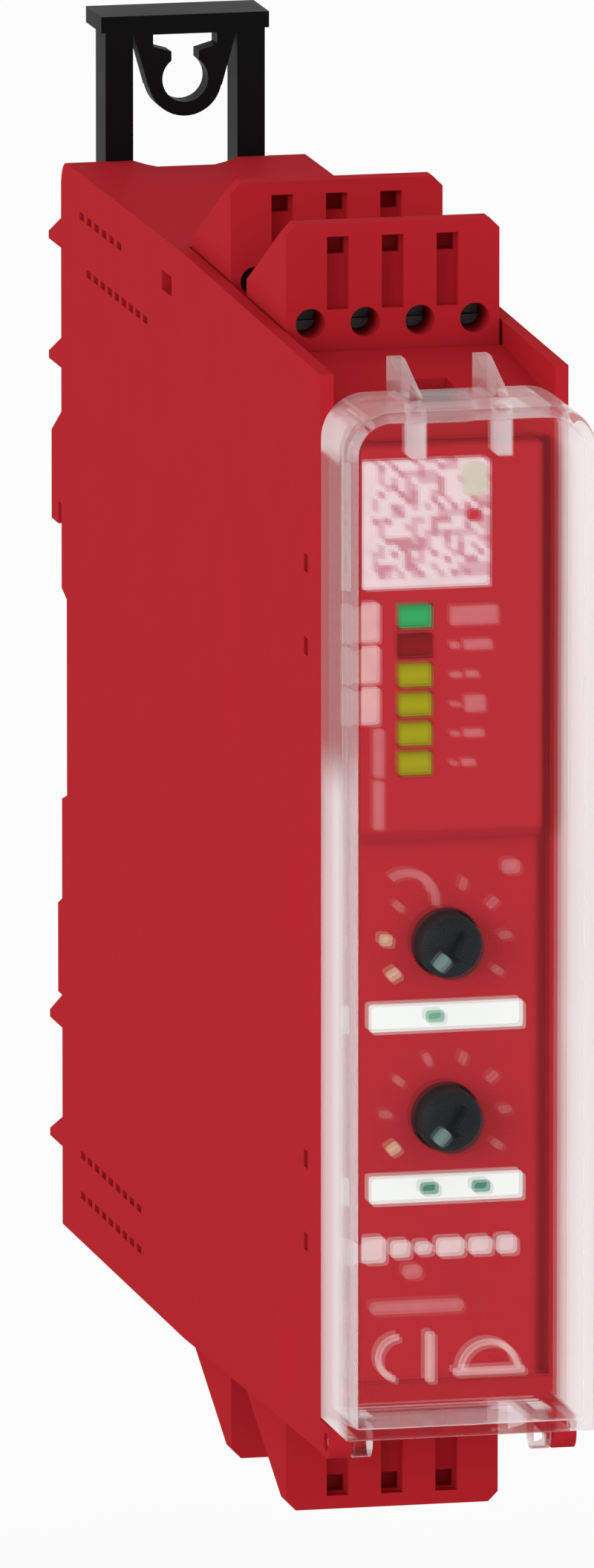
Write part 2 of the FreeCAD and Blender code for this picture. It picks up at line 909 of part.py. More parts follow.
def latch_spring():
    """Compression spring between the fixed peg and the upper end of the latch's slot."""
    slot_top = latch_heights()[2]
    peg_top = spring_seat()[0]
    wire = size("spring_wire")
    coil = size("spring_width") - wire
    span = slot_top - peg_top - wire - 0.2
    helix = doc.addObject("Part::Helix", "spring_path")
    bind(helix, "Pitch", span / size("spring_turns"))
    bind(helix, "Height", span)
    bind(helix, "Radius", coil / 2)
    section = doc.addObject("Part::Circle", "spring_section")
    section.Placement = FreeCAD.Placement(FreeCAD.Vector(), FreeCAD.Rotation(FreeCAD.Vector(1, 0, 0), 90))
    bind(section, "Radius", wire / 2)
    bind(section, "Placement.Base.x", coil / 2)
    spring = doc.addObject("Part::Sweep", "latch_spring")
    spring.Sections = [section]
    spring.Spine = (helix, ["Edge1"])
    spring.Solid = True
    spring.Frenet = True
    spring.Label = "latch_spring"
    place(spring, 0, 0, peg_top + wire / 2 + 0.1)
    return spring


# ---------------------------------------------------------------- plug-in terminal blocks

plug_height = half_height + size("plug_rise") - bay_floor - 0.1
plug_width = bay_span - gap * 2
screw_level = plug_height - size("screw_drop")
cage_front = pole_line - 3.4
cage_back = pole_line + 3.4
cage_low = screw_level - 2.8
cage_top = screw_level + 2.8
chamber_width = size("cage_width") + 0.2


def set_plug(feature, face, side):
    """Moves a piece drawn in a plug's own frame to its bay: side 1 is the top, -1 the bottom."""
    turn = FreeCAD.Rotation() if side > 0 else FreeCAD.Rotation(FreeCAD.Vector(0, 1, 0), 180)
    feature.Placement = FreeCAD.Placement(FreeCAD.Vector(), turn)
    place(feature, 0, -face, (bay_floor + 0.1) * side)


GROOVE_SINK = 1.1       # depth of the grooves between the poles, and of the notch at each one's top
NOTCH_SINK = 2.6


def plug_housing(label, face, side):
    """Moulded plug: four chambers open below, wire funnels above, screw holes in the face."""
    body = new_body(label)
    rise = plug_height
    block = pad(
        body, f"{label}_block", "side", -plug_width / 2, plug_width,
        loops=[[
            (0, 0), (plug_depth, 0), (plug_depth, rise - size("plug_slope")),
            (size("plug_land"), rise), (0, rise),
        ]],
    )
    round_edges(
        body, f"{label}_taper", block, 0.9,
        lambda middle, span: middle.z > rise.value - 7 and near(abs(middle.x), plug_width / 2)
        and span.YLength > 0.5,
        kind="Chamfer",
    )
    half = chamber_width / 2
    pocket(
        body, f"{label}_chambers", "level", 0, cage_top + 0.1, reverse=True,
        loops=[
            rectangle(pitch * i - half, cage_front - 0.1, pitch * i + half, cage_back + 0.1)
            for i in POLES
        ],
    )
    pocket(
        body, f"{label}_funnels", "level", rise, rise - cage_top,
        circles=[((pitch * i, pole_line), size("funnel_width")) for i in POLES],
    )
    pocket(
        body, f"{label}_screw_holes", "front", 0, cage_front,
        circles=[((pitch * i, screw_level), size("screw_hole")) for i in POLES],
    )
    groove = size("groove_width") / 2
    joints = [pitch * i for i in (-1, 0, 1)]
    pocket(
        body, f"{label}_grooves", "front", 0, GROOVE_SINK,
        loops=[rectangle(x - groove, screw_level + 1.2, x + groove, rise - 1.2) for x in joints],
    )
    pocket(
        body, f"{label}_notches", "front", 0, NOTCH_SINK,
        loops=[rectangle(x - groove * 0.8, rise - 2.9, x + groove * 0.8, rise - 1.4) for x in joints],
    )
    set_plug(body, face, side)
    return body


CAGE_SIDE = 0.6         # walls of a clamp, its threaded front wall the thickest
CAGE_FRONT = 1.2
CAGE_BACK = 0.8
SCREW_SHANK = 2.2
HEAD_HEIGHT = 1.6


def plug_cages(label, face, side):
    """Four screw clamps: square tubes open up and down, with a hole for the screw."""
    half = size("cage_width") / 2
    shells = []
    for n, i in enumerate(POLES):
        x = pitch * i
        outer = box(
            f"{label}_outer_{n}", (x - half, cage_front, cage_low), (x + half, cage_back, cage_top)
        )
        inner = box(
            f"{label}_inner_{n}",
            (x - half + CAGE_SIDE, cage_front + CAGE_FRONT, cage_low),
            (x + half - CAGE_SIDE, cage_back - CAGE_BACK, cage_top),
        )
        hole = rod(f"{label}_hole_{n}", (x, cage_front, screw_level), "y", CAGE_FRONT, SCREW_SHANK)
        shells.append(cut(f"{label}_tube_{n}", outer, [inner, hole]))
    group = fuse(label, shells)
    set_plug(group, face, side)
    return group


def plug_screws(label, face, side):
    """Four slotted clamp screws, seated in their cages."""
    head_width = size("screw_hole") - slip * 2
    screws = []
    for n, i in enumerate(POLES):
        x = pitch * i
        top = cage_front - HEAD_HEIGHT
        head = rod(f"{label}_head_{n}", (x, top, screw_level), "y", HEAD_HEIGHT, head_width)
        shank = rod(
            f"{label}_shank_{n}", (x, cage_front - 0.2, screw_level), "y", 3.0, SCREW_SHANK
        )
        slot = box(
            f"{label}_slot_{n}",
            (x - 1.5, top, screw_level - 0.3), (x + 1.5, top + 0.7, screw_level + 0.3),
        )
        screws.append(cut(f"{label}_screw_{n}", fuse(f"{label}_blank_{n}", [head, shank]), [slot]))
    group = fuse(label, screws)
    set_plug(group, face, side)
    return group


def plug_contacts(label, face, side):
    """Four female contacts: a tube for the pin, and a tail that rises into the clamp."""
    metal = 0.5
    inner = size("pin_width") / 2 + slip
    outer = inner + metal
    length = size("pin_height") + 1.0
    tail = cage_back - CAGE_BACK
    contacts = []
    for n, i in enumerate(POLES):
        x = pitch * i
        tube = box(
            f"{label}_tube_{n}",
            (x - outer, pole_line - outer, 0.3), (x + outer, pole_line + outer, length),
        )
        bore = box(
            f"{label}_bore_{n}",
            (x - inner, pole_line - inner, 0.3), (x + inner, pole_line + inner, length),
        )
        foot = box(
            f"{label}_foot_{n}",
            (x - outer, pole_line - outer, length - metal), (x + outer, tail, length),
        )
        riser = box(
            f"{label}_riser_{n}",
            (x - 1.0, tail - metal, length - metal), (x + 1.0, tail, cage_top - 0.5),
        )
        hollow = cut(f"{label}_hollow_{n}", tube, [bore])
        contacts.append(fuse(f"{label}_contact_{n}", [hollow, foot, riser]))
    group = fuse(label, contacts)
    set_plug(group, face, side)
    return group


def header_pins(label, face, side):
    """Four fixed pins that stand through the floor of a bay."""
    half = size("pin_width") / 2
    low = terminal_board - size("board_thick")
    high = bay_floor + size("pin_height")
    pins = []
    for n, i in enumerate(POLES):
        x = pitch * i
        y = -face + pole_line
        if side < 0:
            corners = ((x - half, y - half, -high), (x + half, y + half, -low))
        else:
            corners = ((x - half, y - half, low), (x + half, y + half, high))
        pins.append(box(f"{label}_pin_{n}", *corners))
    return fuse(label, pins)


def header_strip(label, face, side):
    """Insulating strip that holds a row of pins between the bay floor and its board."""
    y = -face + pole_line
    reach = pitch * 2 - 0.6
    low = terminal_board
    high = bay_floor - rim
    ends = (low, high) if side > 0 else (-high, -low)
    block = box(f"{label}_block", (-reach, y - 1.5, ends[0]), (reach, y + 1.5, ends[1]))
    half = size("pin_width") / 2
    holes = [
        box(
            f"{label}_hole_{n}",
            (pitch * i - half, y - half, ends[0]), (pitch * i + half, y + half, ends[1]),
        )
        for n, i in enumerate(POLES)
    ]
    return cut(label, block, holes)


# ---------------------------------------------------------------- selector knobs and lamps

KNOB_START = 210.0      # first setting of a dial, in degrees clockwise from the top
SHAFT_WIDTH = 2.8
SWITCH_SIDE = 7.6
SWITCH_DEEP = 2.8


def selector_knob(label, level):
    """Dial on a shaft, with a bevelled rim, a tool slot and a pointer notch."""
    body = new_body(label)
    radius = size("knob_width") / 2
    back = board_face + 0.4
    front = panel_face + size("knob_stand")
    shoulder = board_face + SWITCH_DEEP + 0.4
    shaft = SHAFT_WIDTH / 2
    sketch = new_sketch(body, f"{label}_profile", "side", 0)
    draw_loop(
        sketch,
        [
            (-back, 0), (-back, shaft), (-shoulder, shaft), (-shoulder, radius),
            (-front + 0.5, radius), (-front, radius - 0.5), (-front, 0),
        ],
        "k",
    )
    dial = body.newObject("PartDesign::Revolution", f"{label}_turned")
    dial.Profile = sketch
    dial.ReferenceAxis = (sketch, ["H_Axis"])
    dial.Angle = 360
    slot = 0.55
    pocket(
        body, f"{label}_slot", "front", front, 1.2,
        loops=[[
            (-slot, -radius * 0.62), (slot, -radius * 0.62), (slot, radius * 0.2),
            (slot * 2.4, radius * 0.2), (0, radius * 0.7), (-slot * 2.4, radius * 0.2),
            (-slot, radius * 0.2),
        ]],
    )
    body.Placement = FreeCAD.Placement(
        FreeCAD.Vector(), FreeCAD.Rotation(FreeCAD.Vector(0, 1, 0), KNOB_START)
    )
    place(body, 0, 0, level)
    return body


def selector_switch(label, level):
    """Rotary switch on the front board, bored for the knob's shaft."""
    half = SWITCH_SIDE / 2
    front = -(board_face + SWITCH_DEEP)
    block = box(f"{label}_block", (-half, front, level - half), (half, -board_face, level + half))
    bore = rod(f"{label}_bore", (0, front, level), "y", SWITCH_DEEP, SHAFT_WIDTH + slip * 2)
    return cut(label, block, [bore])


def lamp_window(label, numbers):
    """Light guides of one colour, from the lamps on the board to the panel's face."""
    back = -(board_face + 1.3)
    front = -(panel_top_face + 0.15)
    guides = []
    for n, loop in enumerate(lamp_loops(0, numbers)):
        (x0, z0), (x1, z1) = loop[0], loop[2]
        guides.append(box(f"{label}_guide_{n}", (x0, front, z0), (x1, back, z1)))
    if len(guides) == 1:
        guides[0].Label = label
        return guides[0]
    return fuse(label, guides)


def status_lamps():
    """The six light-emitting chips behind the light guides."""
    x = -size("lamp_offset")
    chips = []
    for n in range(6):
        z = size("lamp_top") - size("lamp_pitch") * n
        low = (x - 0.9, -(board_face + 1.0), z - 0.6)
        chips.append(box(f"lamp_chip_{n}", low, (x + 0.9, -board_face, z + 0.6)))
    return fuse("status_lamps", chips)


# ---------------------------------------------------------------- boards and what they carry


def front_board():
    """Board behind the panel, for the lamps and the selector switches."""
    half = size("panel_width") / 2 - 0.4
    tall = size("panel_height") / 2 - 4
    back = -board_face + size("board_thick")
    plate = box("front_board", (-half, -board_face, -tall), (half, back, tall))
    plate.Label = "front_board"
    return plate


def main_board():
    """Board beside the left wall, tall behind the bays and narrow between them."""
    body = new_body("main_board")
    back = -size("back_wall") - 1.0
    rear_back = bay(plug_faces["rear"])[1] + rim + 0.5
    tall = half_height - rim - 0.6
    short = terminal_board - size("board_thick")
    front = -(board_face - size("board_thick"))
    upper = [(back, tall), (rear_back, tall), (rear_back, short), (front, short)]
    thick = size("board_thick")
    pad(body, "main_board_plate", "side", board_left, thick, loops=[upper + mirrored(upper)])
    clear = [(at, POST_WIDTH + gap * 2) for at in post_places()]
    pocket(body, "main_board_post_holes", "side", board_right, thick, circles=clear)
    return body


def terminal_plate(label, side):
    """Board that carries two rows of header pins and plugs onto the main board."""
    low = terminal_board - size("board_thick")
    rear_back = bay(plug_faces["rear"])[1]
    front = bay(plug_faces["front"])[0]
    ends = (low, terminal_board) if side > 0 else (-terminal_board, -low)
    right = open_side - 0.4
    plate = box(f"{label}_plate", (board_left, front, ends[0]), (right, rear_back, ends[1]))
    half = size("pin_width") / 2
    holes = []
    for row, face in plug_faces.items():
        y = -face + pole_line
        for n, i in enumerate(POLES):
            x = pitch * i
            low_corner = (x - half, y - half, ends[0])
            high_corner = (x + half, y + half, ends[1])
            holes.append(box(f"{label}_{row}_hole_{n}", low_corner, high_corner))
    return cut(label, plate, holes)


def safety_relay(label, y):
    """Sealed relay with guided contacts, standing on the main board."""
    wide = size("relay_width")
    long = size("relay_length") / 2
    seat = board_right + 0.5
    case = box(f"{label}_case", (seat, y - wide, -long), (seat + size("relay_height"), y, long))
    feet = [
        box(f"{label}_foot_{n}", (board_right, y - wide + 1.5, z - 0.5), (seat, y - 1.5, z + 0.5))
        for n, z in enumerate((-long + 2, -long * 0.3, long * 0.4, long - 2))
    ]
    return fuse(label, [case, *feet])


CAN_BACK = -17.0
CAN_HEIGHT = 12.5
CAN_WIDTH = 8.0


def capacitors():
    """Two can capacitors beside the relays."""
    cans = []
    for n, z in enumerate((half_height * 0.62, -half_height * 0.62)):
        can = rod(f"capacitor_can_{n}", (board_right, CAN_BACK, z), "x", CAN_HEIGHT, CAN_WIDTH)
        crown = rod(f"capacitor_crown_{n}", (board_right + CAN_HEIGHT, CAN_BACK, z), "x", 0.3, 6.6)
        cans.append(fuse(f"capacitor_{n}", [can, crown]))
    return fuse("capacitors", cans)


def transformer():
    """Small transformer: a closed core round a wider coil."""
    y = -(size("back_wall") + 1.2 + size("relay_width") * 2 + 6)
    core = box("transformer_core", (board_right, y - 6, 18.0), (board_right + 12, y + 5, 29.0))
    coil = box("transformer_coil", (board_right + 2, y - 7, 20.0), (board_right + 10, y + 6, 27.0))
    return fuse("transformer", [core, coil])


def controllers():
    """Two flat controller chips between the bays."""
    chips = []
    for n, z in enumerate((9.0, -9.0)):
        chips.append(
            box(f"controller_chip_{n}", (board_right, -72, z - 5), (board_right + 1.4, -62, z + 5))
        )
    return fuse("controllers", chips)


def board_link():
    """Connector between the main board and the front board."""
    front = -(board_face - size("board_thick"))
    link = box("board_link", (board_right, front, -7), (board_right + 4, front + 6, 7))
    link.Label = "board_link"
    return link


# ---------------------------------------------------------------- the whole relay


def build():
    """Makes every piece and returns them by name."""
    pieces = [
        housing_shell(), side_cover(), front_panel(), clear_cover(),
        mounting_slide(), rail_latch(), latch_spring(),
        front_board(), main_board(), controllers(), board_link(), capacitors(), transformer(),
    ]
    relay_back = -size("back_wall") - 1.2
    pieces.append(safety_relay("safety_relay_a", relay_back))
    pieces.append(safety_relay("safety_relay_b", relay_back - size("relay_width") - 1.0))
    for name in ("high", "low"):
        level = size(f"knob_{name}")
        where = {"high": "upper", "low": "lower"}[name]
        pieces.append(selector_knob(f"{where}_selector_knob", level))
        pieces.append(selector_switch(f"{where}_selector_switch", level))
    pieces.append(status_lamps())
    pieces.append(lamp_window("green_lamp_window", [0]))
    pieces.append(lamp_window("red_lamp_window", [1]))
    pieces.append(lamp_window("yellow_lamp_windows", [2, 3, 4, 5]))
    for end, side in (("top", 1), ("bottom", -1)):
        pieces.append(terminal_plate(f"{end}_terminal_board", side))
        for row, face in plug_faces.items():
            name = f"{end}_{row}"
            pieces.append(plug_housing(f"{name}_plug", face, side))
            pieces.append(plug_cages(f"{name}_clamps", face, side))
            pieces.append(plug_screws(f"{name}_screws", face, side))
            pieces.append(plug_contacts(f"{name}_contacts", face, side))
            pieces.append(header_pins(f"{name}_pins", face, side))
            pieces.append(header_strip(f"{name}_header", face, side))
    doc.recompute()
    return {piece.Label: piece for piece in pieces}


def check(pieces):
    """Stops if any feature failed or any piece has no sound shape."""
    for feature in doc.Objects:
        if "Invalid" in feature.State or "Error" in feature.State:
            raise RuntimeError(f"{feature.Name} failed")
    for label, piece in pieces.items():
        if piece.Shape.isNull() or not piece.Shape.isValid() or not piece.Shape.Solids:
            raise RuntimeError(f"{label} has no sound shape")


relay = build()
check(relay)
os.makedirs("parts", exist_ok=True)
for label, piece in relay.items():
    piece.Shape.exportStep(f"parts/{label}.step")
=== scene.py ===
"""Finish of a narrow rail-mounted relay: plastics, printed marks, lamps, clear cover and studio.

Lengths are in metres, +Z is up, and the front of the relay faces -Y.
"""
import math

import bmesh
import bpy
from bpy.props import FloatProperty, FloatVectorProperty, IntProperty, PointerProperty
from mathutils import Matrix, Vector


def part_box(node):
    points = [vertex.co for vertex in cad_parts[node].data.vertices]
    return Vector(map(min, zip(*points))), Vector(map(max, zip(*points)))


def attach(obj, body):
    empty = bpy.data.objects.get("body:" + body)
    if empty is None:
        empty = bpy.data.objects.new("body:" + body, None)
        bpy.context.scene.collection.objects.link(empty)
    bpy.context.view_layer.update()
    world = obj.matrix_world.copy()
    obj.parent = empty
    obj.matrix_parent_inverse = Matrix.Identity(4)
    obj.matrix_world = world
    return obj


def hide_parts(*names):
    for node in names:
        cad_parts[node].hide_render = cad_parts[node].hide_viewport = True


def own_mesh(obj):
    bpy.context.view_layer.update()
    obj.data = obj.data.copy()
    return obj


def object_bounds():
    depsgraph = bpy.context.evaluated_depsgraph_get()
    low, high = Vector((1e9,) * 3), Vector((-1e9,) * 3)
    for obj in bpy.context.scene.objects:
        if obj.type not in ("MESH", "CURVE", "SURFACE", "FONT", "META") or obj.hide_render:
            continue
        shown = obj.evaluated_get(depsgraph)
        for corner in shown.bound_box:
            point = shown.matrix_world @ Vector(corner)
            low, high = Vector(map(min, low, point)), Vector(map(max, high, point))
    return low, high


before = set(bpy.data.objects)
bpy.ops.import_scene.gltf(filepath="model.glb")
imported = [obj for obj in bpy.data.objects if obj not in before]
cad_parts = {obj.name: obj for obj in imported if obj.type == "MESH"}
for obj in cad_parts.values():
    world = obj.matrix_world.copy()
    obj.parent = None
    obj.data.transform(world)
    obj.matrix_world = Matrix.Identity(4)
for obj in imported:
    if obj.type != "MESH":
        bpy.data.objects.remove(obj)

bl_info = {
    "name": "Relay finish",
    "version": (1, 0, 0),
    "blender": (4, 5, 0),
    "location": "3D View > Sidebar > Relay",
    "description": "Dresses the packed relay with its finishes, printed marks and studio",
    "category": "Object",
}

CAD_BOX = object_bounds()
MM = 0.001


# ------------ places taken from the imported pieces


def middle(node):
    """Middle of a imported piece's box."""
    low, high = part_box(node)
    return (low + high) / 2


def width(node):
    """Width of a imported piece's box."""
    low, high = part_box(node)
    return high.x - low.x


def corners_within(node, axis, limit):
    """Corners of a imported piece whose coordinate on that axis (0 to 2) is below a limit."""
    return [v.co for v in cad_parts[node].data.vertices if v.co[axis] < limit]


def find_lower_face():
    """(depth of the lower panel face, height of the step above it), read from the panel's corners."""
    inside = abs(PANEL_LOW.x) - PANEL_MARGIN
    raised = corners_within("front_panel", 1, RAISED_FACE + SAME_FACE)
    step = min(c.z for c in raised if abs(c.x) < inside)
    below = corners_within("front_panel", 2, step - STEP_ROOM)
    return min(c.y for c in below if abs(c.x) < inside), step


SAME_FACE = 0.2 * MM  # corners nearer than this in depth lie in one face
PANEL_MARGIN = 0.5 * MM  # the panel's outer edges, which are no face
STEP_ROOM = 2 * MM  # below the step and its rounding
PANEL_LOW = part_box("front_panel")[0]
RAISED_FACE = PANEL_LOW.y
LOWER_FACE, STEP = find_lower_face()
PLATE_EDGE = max(c.x for c in corners_within("front_panel", 1, RAISED_FACE + SAME_FACE))
LAMP = middle("green_lamp_window")
LAMP_PITCH = LAMP.z - middle("red_lamp_window").z
LAMP_WIDTH = width("green_lamp_window")
UPPER_DIAL = middle("upper_selector_knob")
LOWER_DIAL = middle("lower_selector_knob")
KNOB_RADIUS = width("upper_selector_knob") / 2
KNOB_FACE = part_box("upper_selector_knob")[0].y
PLUGS = [f"{end}_{row}" for end in ("top", "bottom") for row in ("rear", "front")]

SIDE_REFLECTION_INSET = 1.4 * MM  # how far in from each side the painted reflection on the cover's walls begins
HOOK_DEPTH = 5 * MM  # behind this only the cover's hooks rise
COVER_LOW, COVER_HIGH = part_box("clear_cover")
COVER_WALL = COVER_HIGH.x - SIDE_REFLECTION_INSET
COVER_FACE = COVER_LOW.y
COVER_TOP = max(c.z for c in corners_within("clear_cover", 1, COVER_FACE + HOOK_DEPTH))


# ------------ settings a user would change


def linear(display):
    """Linear colour for an 8-bit display colour (the sRGB curve)."""
    shares = [value / 255 for value in display]
    return tuple(c / 12.92 if c <= 0.04045 else ((c + 0.055) / 1.055) ** 2.4 for c in shares)


def colour(label, text, display):
    """A colour property, its default given as an 8-bit display colour."""
    return FloatVectorProperty(
        name=label, description=text, subtype="COLOR", size=3, min=0, max=1, default=linear(display)
    )


def length(label, text, millimetres):
    """A length property, its default given in millimetres."""
    return FloatProperty(
        name=label, description=text, subtype="DISTANCE", unit="LENGTH", min=0,
        default=millimetres * MM,
    )


def angle(label, text, degrees):
    """An angle property, its default given in degrees."""
    return FloatProperty(
        name=label, description=text, subtype="ANGLE", unit="ROTATION", default=math.radians(degrees)
    )


class RelayColours(bpy.types.PropertyGroup):
    """Colours of the mouldings, the print and the lamps."""

    shell: colour("Shell", "Moulded housing and terminal blocks", (179, 36, 44))
    panel: colour("Panel", "Front panel behind the cover", (184, 38, 48))
    cover: colour("Cover", "Tint of the clear cover", (252, 252, 253))
    clearness: FloatProperty(
        name="Clearness", description="Share of the cover that shows what is behind it unbent",
        min=0, max=1, default=0.35,
    )
    slide: colour("Slide", "Mounting slide and rail latch", (17, 17, 18))
    knob: colour("Knob", "Selector knobs", (24, 29, 31))
    pointer: colour("Pointer", "Pale pointer on each knob", (108, 134, 126))
    white_print: colour("White print", "Light printed marks", (224, 166, 164))
    faint_print: colour("Faint print", "Thin print that blends with the red", (202, 104, 108))
    tick: colour("Ticks", "Marks round the dials", (196, 98, 96))
    tick_dot: colour("Tick dot", "Bright first ticks of a dial", (222, 176, 146))
    strip: colour("Strip", "White marking strips", (250, 252, 248))
    teal: colour("Teal", "Coloured marks on the upper strip", (112, 172, 146))
    teal_dark: colour("Dark teal", "Coloured marks on the lower strip", (74, 136, 114))
    code: colour("Code field", "Light cells of the patterned field", (236, 208, 212))
    code_mid: colour("Code field middle", "Middle cells of the patterned field", (216, 164, 172))
    code_deep: colour("Code field deep", "Deep cells of the patterned field", (202, 128, 140))
    corner: colour("Field corner", "Plain block at the field's upper corner", (212, 200, 184))
    gap: colour("Field gap", "Small red gap in the field", (196, 46, 62))
    heading: colour("Heading", "Light bars where a heading would be", (230, 196, 196))
    green_lamp: colour("Green lamp", "Lit green lamp", (38, 128, 72))
    red_lamp: colour("Red lamp", "Unlit red lamp", (128, 2, 4))
    yellow_lamp: colour("Yellow lamp", "Lit yellow lamps", (128, 122, 2))


class RelayMarks(bpy.types.PropertyGroup):
    """Sizes of the printed marks and strips."""

    film: length("Print film", "How far a printed mark stands off the panel", 0.03)
    code_side: length("Code side", "Side of the patterned square", 11.5)
    code_cell: length("Code cell", "Side of one cell of the pattern", 0.6)
    strip_width: length("Strip width", "Width of a marking strip", 14.0)
    strip_height: length("Strip height", "Height of a marking strip", 2.5)
    strip_thickness: length("Strip thickness", "Thickness of a marking strip", 0.25)
    pointer_turn: angle("Pointer turn", "Clockwise angle of a knob's pointer from straight up", 222)
    tick_length: length("Tick length", "Length of a dial tick", 1.2)
    tick_width: length("Tick width", "Width of a dial tick", 0.7)
    tick_gap: length("Tick gap", "From a knob's rim to its ticks", 2.0)
    tick_count: IntProperty(name="Ticks", description="Ticks round a dial", min=2, default=8)
    tick_sweep: angle("Tick sweep", "Angle that the ticks cover", 240)


class RelaySpring(bpy.types.PropertyGroup):
    """Wire and turns of the latch spring."""

    wire: length("Wire", "Thickness of the spring's wire", 0.5)
    turns: IntProperty(name="Turns", description="Turns of the spring", min=1, default=6)
    steps_per_turn: IntProperty(name="Steps", description="Sections in each turn", min=8, default=28)


class RelayStudio(bpy.types.PropertyGroup):
    """Light, floor and camera."""

    floor: colour("Floor", "Plain pale floor", (244, 244, 244))
    sky: FloatProperty(
        name="Sky", description="Strength of the even light all round", min=0, default=0.72
    )
    key: FloatProperty(
        name="Key", description="Power of the lamp on the left", unit="POWER", min=0, default=24
    )
    fill: FloatProperty(
        name="Fill", description="Power of the lamp on the right", unit="POWER", min=0, default=5
    )
    azimuth: angle("Azimuth", "Camera's turn about the relay", -12.71)
    elevation: angle("Elevation", "Camera's height as an angle", 10.95)
    distance: length("Distance", "From the camera to the point it looks at", 2522)
    lens: FloatProperty(name="Lens", description="Focal length in millimetres", min=1, default=640)
    drop: length("Floor drop", "Room between the relay and the floor", 18)
    depth: length("Aim depth", "How far in front of the rail's plane the camera aims", 55)
    aside: length("Aim aside", "How far left of the middle the camera aims", 1.37)
    above: length("Aim above", "How far above the middle the camera aims", 1.34)


# ------------ nodes shared by several materials


GRAIN = 2600.0  # cells of the eroded texture in a metre
FLOW = 60.0  # flow marks in a metre
FLOW_HEIGHT = 0.6  # flow marks' share in the height
DRAWN_LINES = (6000.0, 6000.0, 300.0)  # lines in a metre across and along the drawing


def add_node(tree, kind, at, **inputs):
    """A node of that kind, with its input values set by name (spaces as underscores)."""
    node = tree.nodes.new(kind)
    node.location = at
    for name, value in inputs.items():
        node.inputs[name.replace("_", " ")].default_value = value
    return node


def add_math(tree, operation, at, first, second=None, third=None):
    """A Math node whose inputs are sockets or plain numbers."""
    node = tree.nodes.new("ShaderNodeMath")
    node.operation = operation
    node.location = at
    for socket, value in zip(node.inputs, (first, second, third)):
        if isinstance(value, bpy.types.NodeSocket):
            tree.links.new(value, socket)
        elif value is not None:
            socket.default_value = value
    return node.outputs[0]


def new_group(name, inputs, outputs):
    """(group, input node, output node); inputs are (name, socket type, default), outputs numbers."""
    group = bpy.data.node_groups.new(name, "ShaderNodeTree")
    for label, kind, default in inputs:
        socket = group.interface.new_socket(label, in_out="INPUT", socket_type=kind)
        if default is not None:
            socket.default_value = default
    for label in outputs:
        group.interface.new_socket(label, in_out="OUTPUT", socket_type="NodeSocketFloat")
    start = add_node(group, "NodeGroupInput", (-700, 0))
    end = add_node(group, "NodeGroupOutput", (300, 0))
    return group, start, end


def moulded_grain():
    """Eroded texture and slow flow marks of a moulding: Height for bump, Mottle about 0.5."""
    name = "moulded grain"
    if name in bpy.data.node_groups:
        return bpy.data.node_groups[name]
    group, start, end = new_group(
        name,
        [("Vector", "NodeSocketVector", None), ("Grain Scale", "NodeSocketFloat", GRAIN),
         ("Flow Scale", "NodeSocketFloat", FLOW)],
        ("Height", "Mottle"),
    )
    fine = add_node(group, "ShaderNodeTexNoise", (-400, 150), Detail=3.0, Roughness=0.6)
    slow = add_node(group, "ShaderNodeTexNoise", (-400, -150), Detail=2.0, Roughness=0.5)
    group.links.new(start.outputs["Vector"], fine.inputs["Vector"])
    group.links.new(start.outputs["Vector"], slow.inputs["Vector"])
    group.links.new(start.outputs["Grain Scale"], fine.inputs["Scale"])
    group.links.new(start.outputs["Flow Scale"], slow.inputs["Scale"])
    blend = add_math(
        group, "MULTIPLY_ADD", (-100, 150), slow.outputs["Fac"], FLOW_HEIGHT, fine.outputs["Fac"]
    )
    group.links.new(blend, end.inputs["Height"])
    group.links.new(slow.outputs["Fac"], end.inputs["Mottle"])
    return group


def brushed_lines():
    """Fine drawn lines on sheet metal: Height for bump, Streak about 0.5."""
    name = "brushed lines"
    if name in bpy.data.node_groups:
        return bpy.data.node_groups[name]
    group, start, end = new_group(
        name,
        [("Vector", "NodeSocketVector", None), ("Stretch", "NodeSocketVector", DRAWN_LINES)],
        ("Height", "Streak"),
    )
    pull = add_node(group, "ShaderNodeVectorMath", (-500, 0))
    pull.operation = "MULTIPLY"
    lines = add_node(group, "ShaderNodeTexNoise", (-300, 0), Scale=1.0, Detail=4.0)
    group.links.new(start.outputs["Vector"], pull.inputs[0])
    group.links.new(start.outputs["Stretch"], pull.inputs[1])
    group.links.new(pull.outputs[0], lines.inputs["Vector"])
    group.links.new(lines.outputs["Fac"], end.inputs["Height"])
    group.links.new(lines.outputs["Fac"], end.inputs["Streak"])
    return group


# ------------ materials


NOISE_LOW, NOISE_HIGH = 0.3, 0.7  # where most of a noise value lies
PLASTIC_RELIEF = 0.03 * MM
METAL_RELIEF = 0.02 * MM
METAL_BUMP = 0.15
METAL_DARK = 0.86  # the darker lines, as a share of the colour
PLASTIC_SPREAD, METAL_SPREAD = (-0.04, 0.05), (-0.08, 0.12)  # of the roughness


def new_material(name, display):
    """(material, tree, shader, object coordinates) with a plain Principled shader."""
    material = bpy.data.materials.new(name)
    material.use_nodes = True
    material.diffuse_color = (*display, 1)
    tree = material.node_tree
    shader = tree.nodes["Principled BSDF"]
    shader.inputs["Base Color"].default_value = (*display, 1)
    coordinates = add_node(tree, "ShaderNodeTexCoord", (-1200, 0))
    return material, tree, shader, coordinates.outputs["Object"]


def grade(tree, at, value, low, high):
    """Spreads a noise value between low and high."""
    node = add_node(
        tree, "ShaderNodeMapRange", at, From_Min=NOISE_LOW, From_Max=NOISE_HIGH, To_Min=low, To_Max=high
    )
    tree.links.new(value, node.inputs["Value"])
    return node.outputs["Result"]


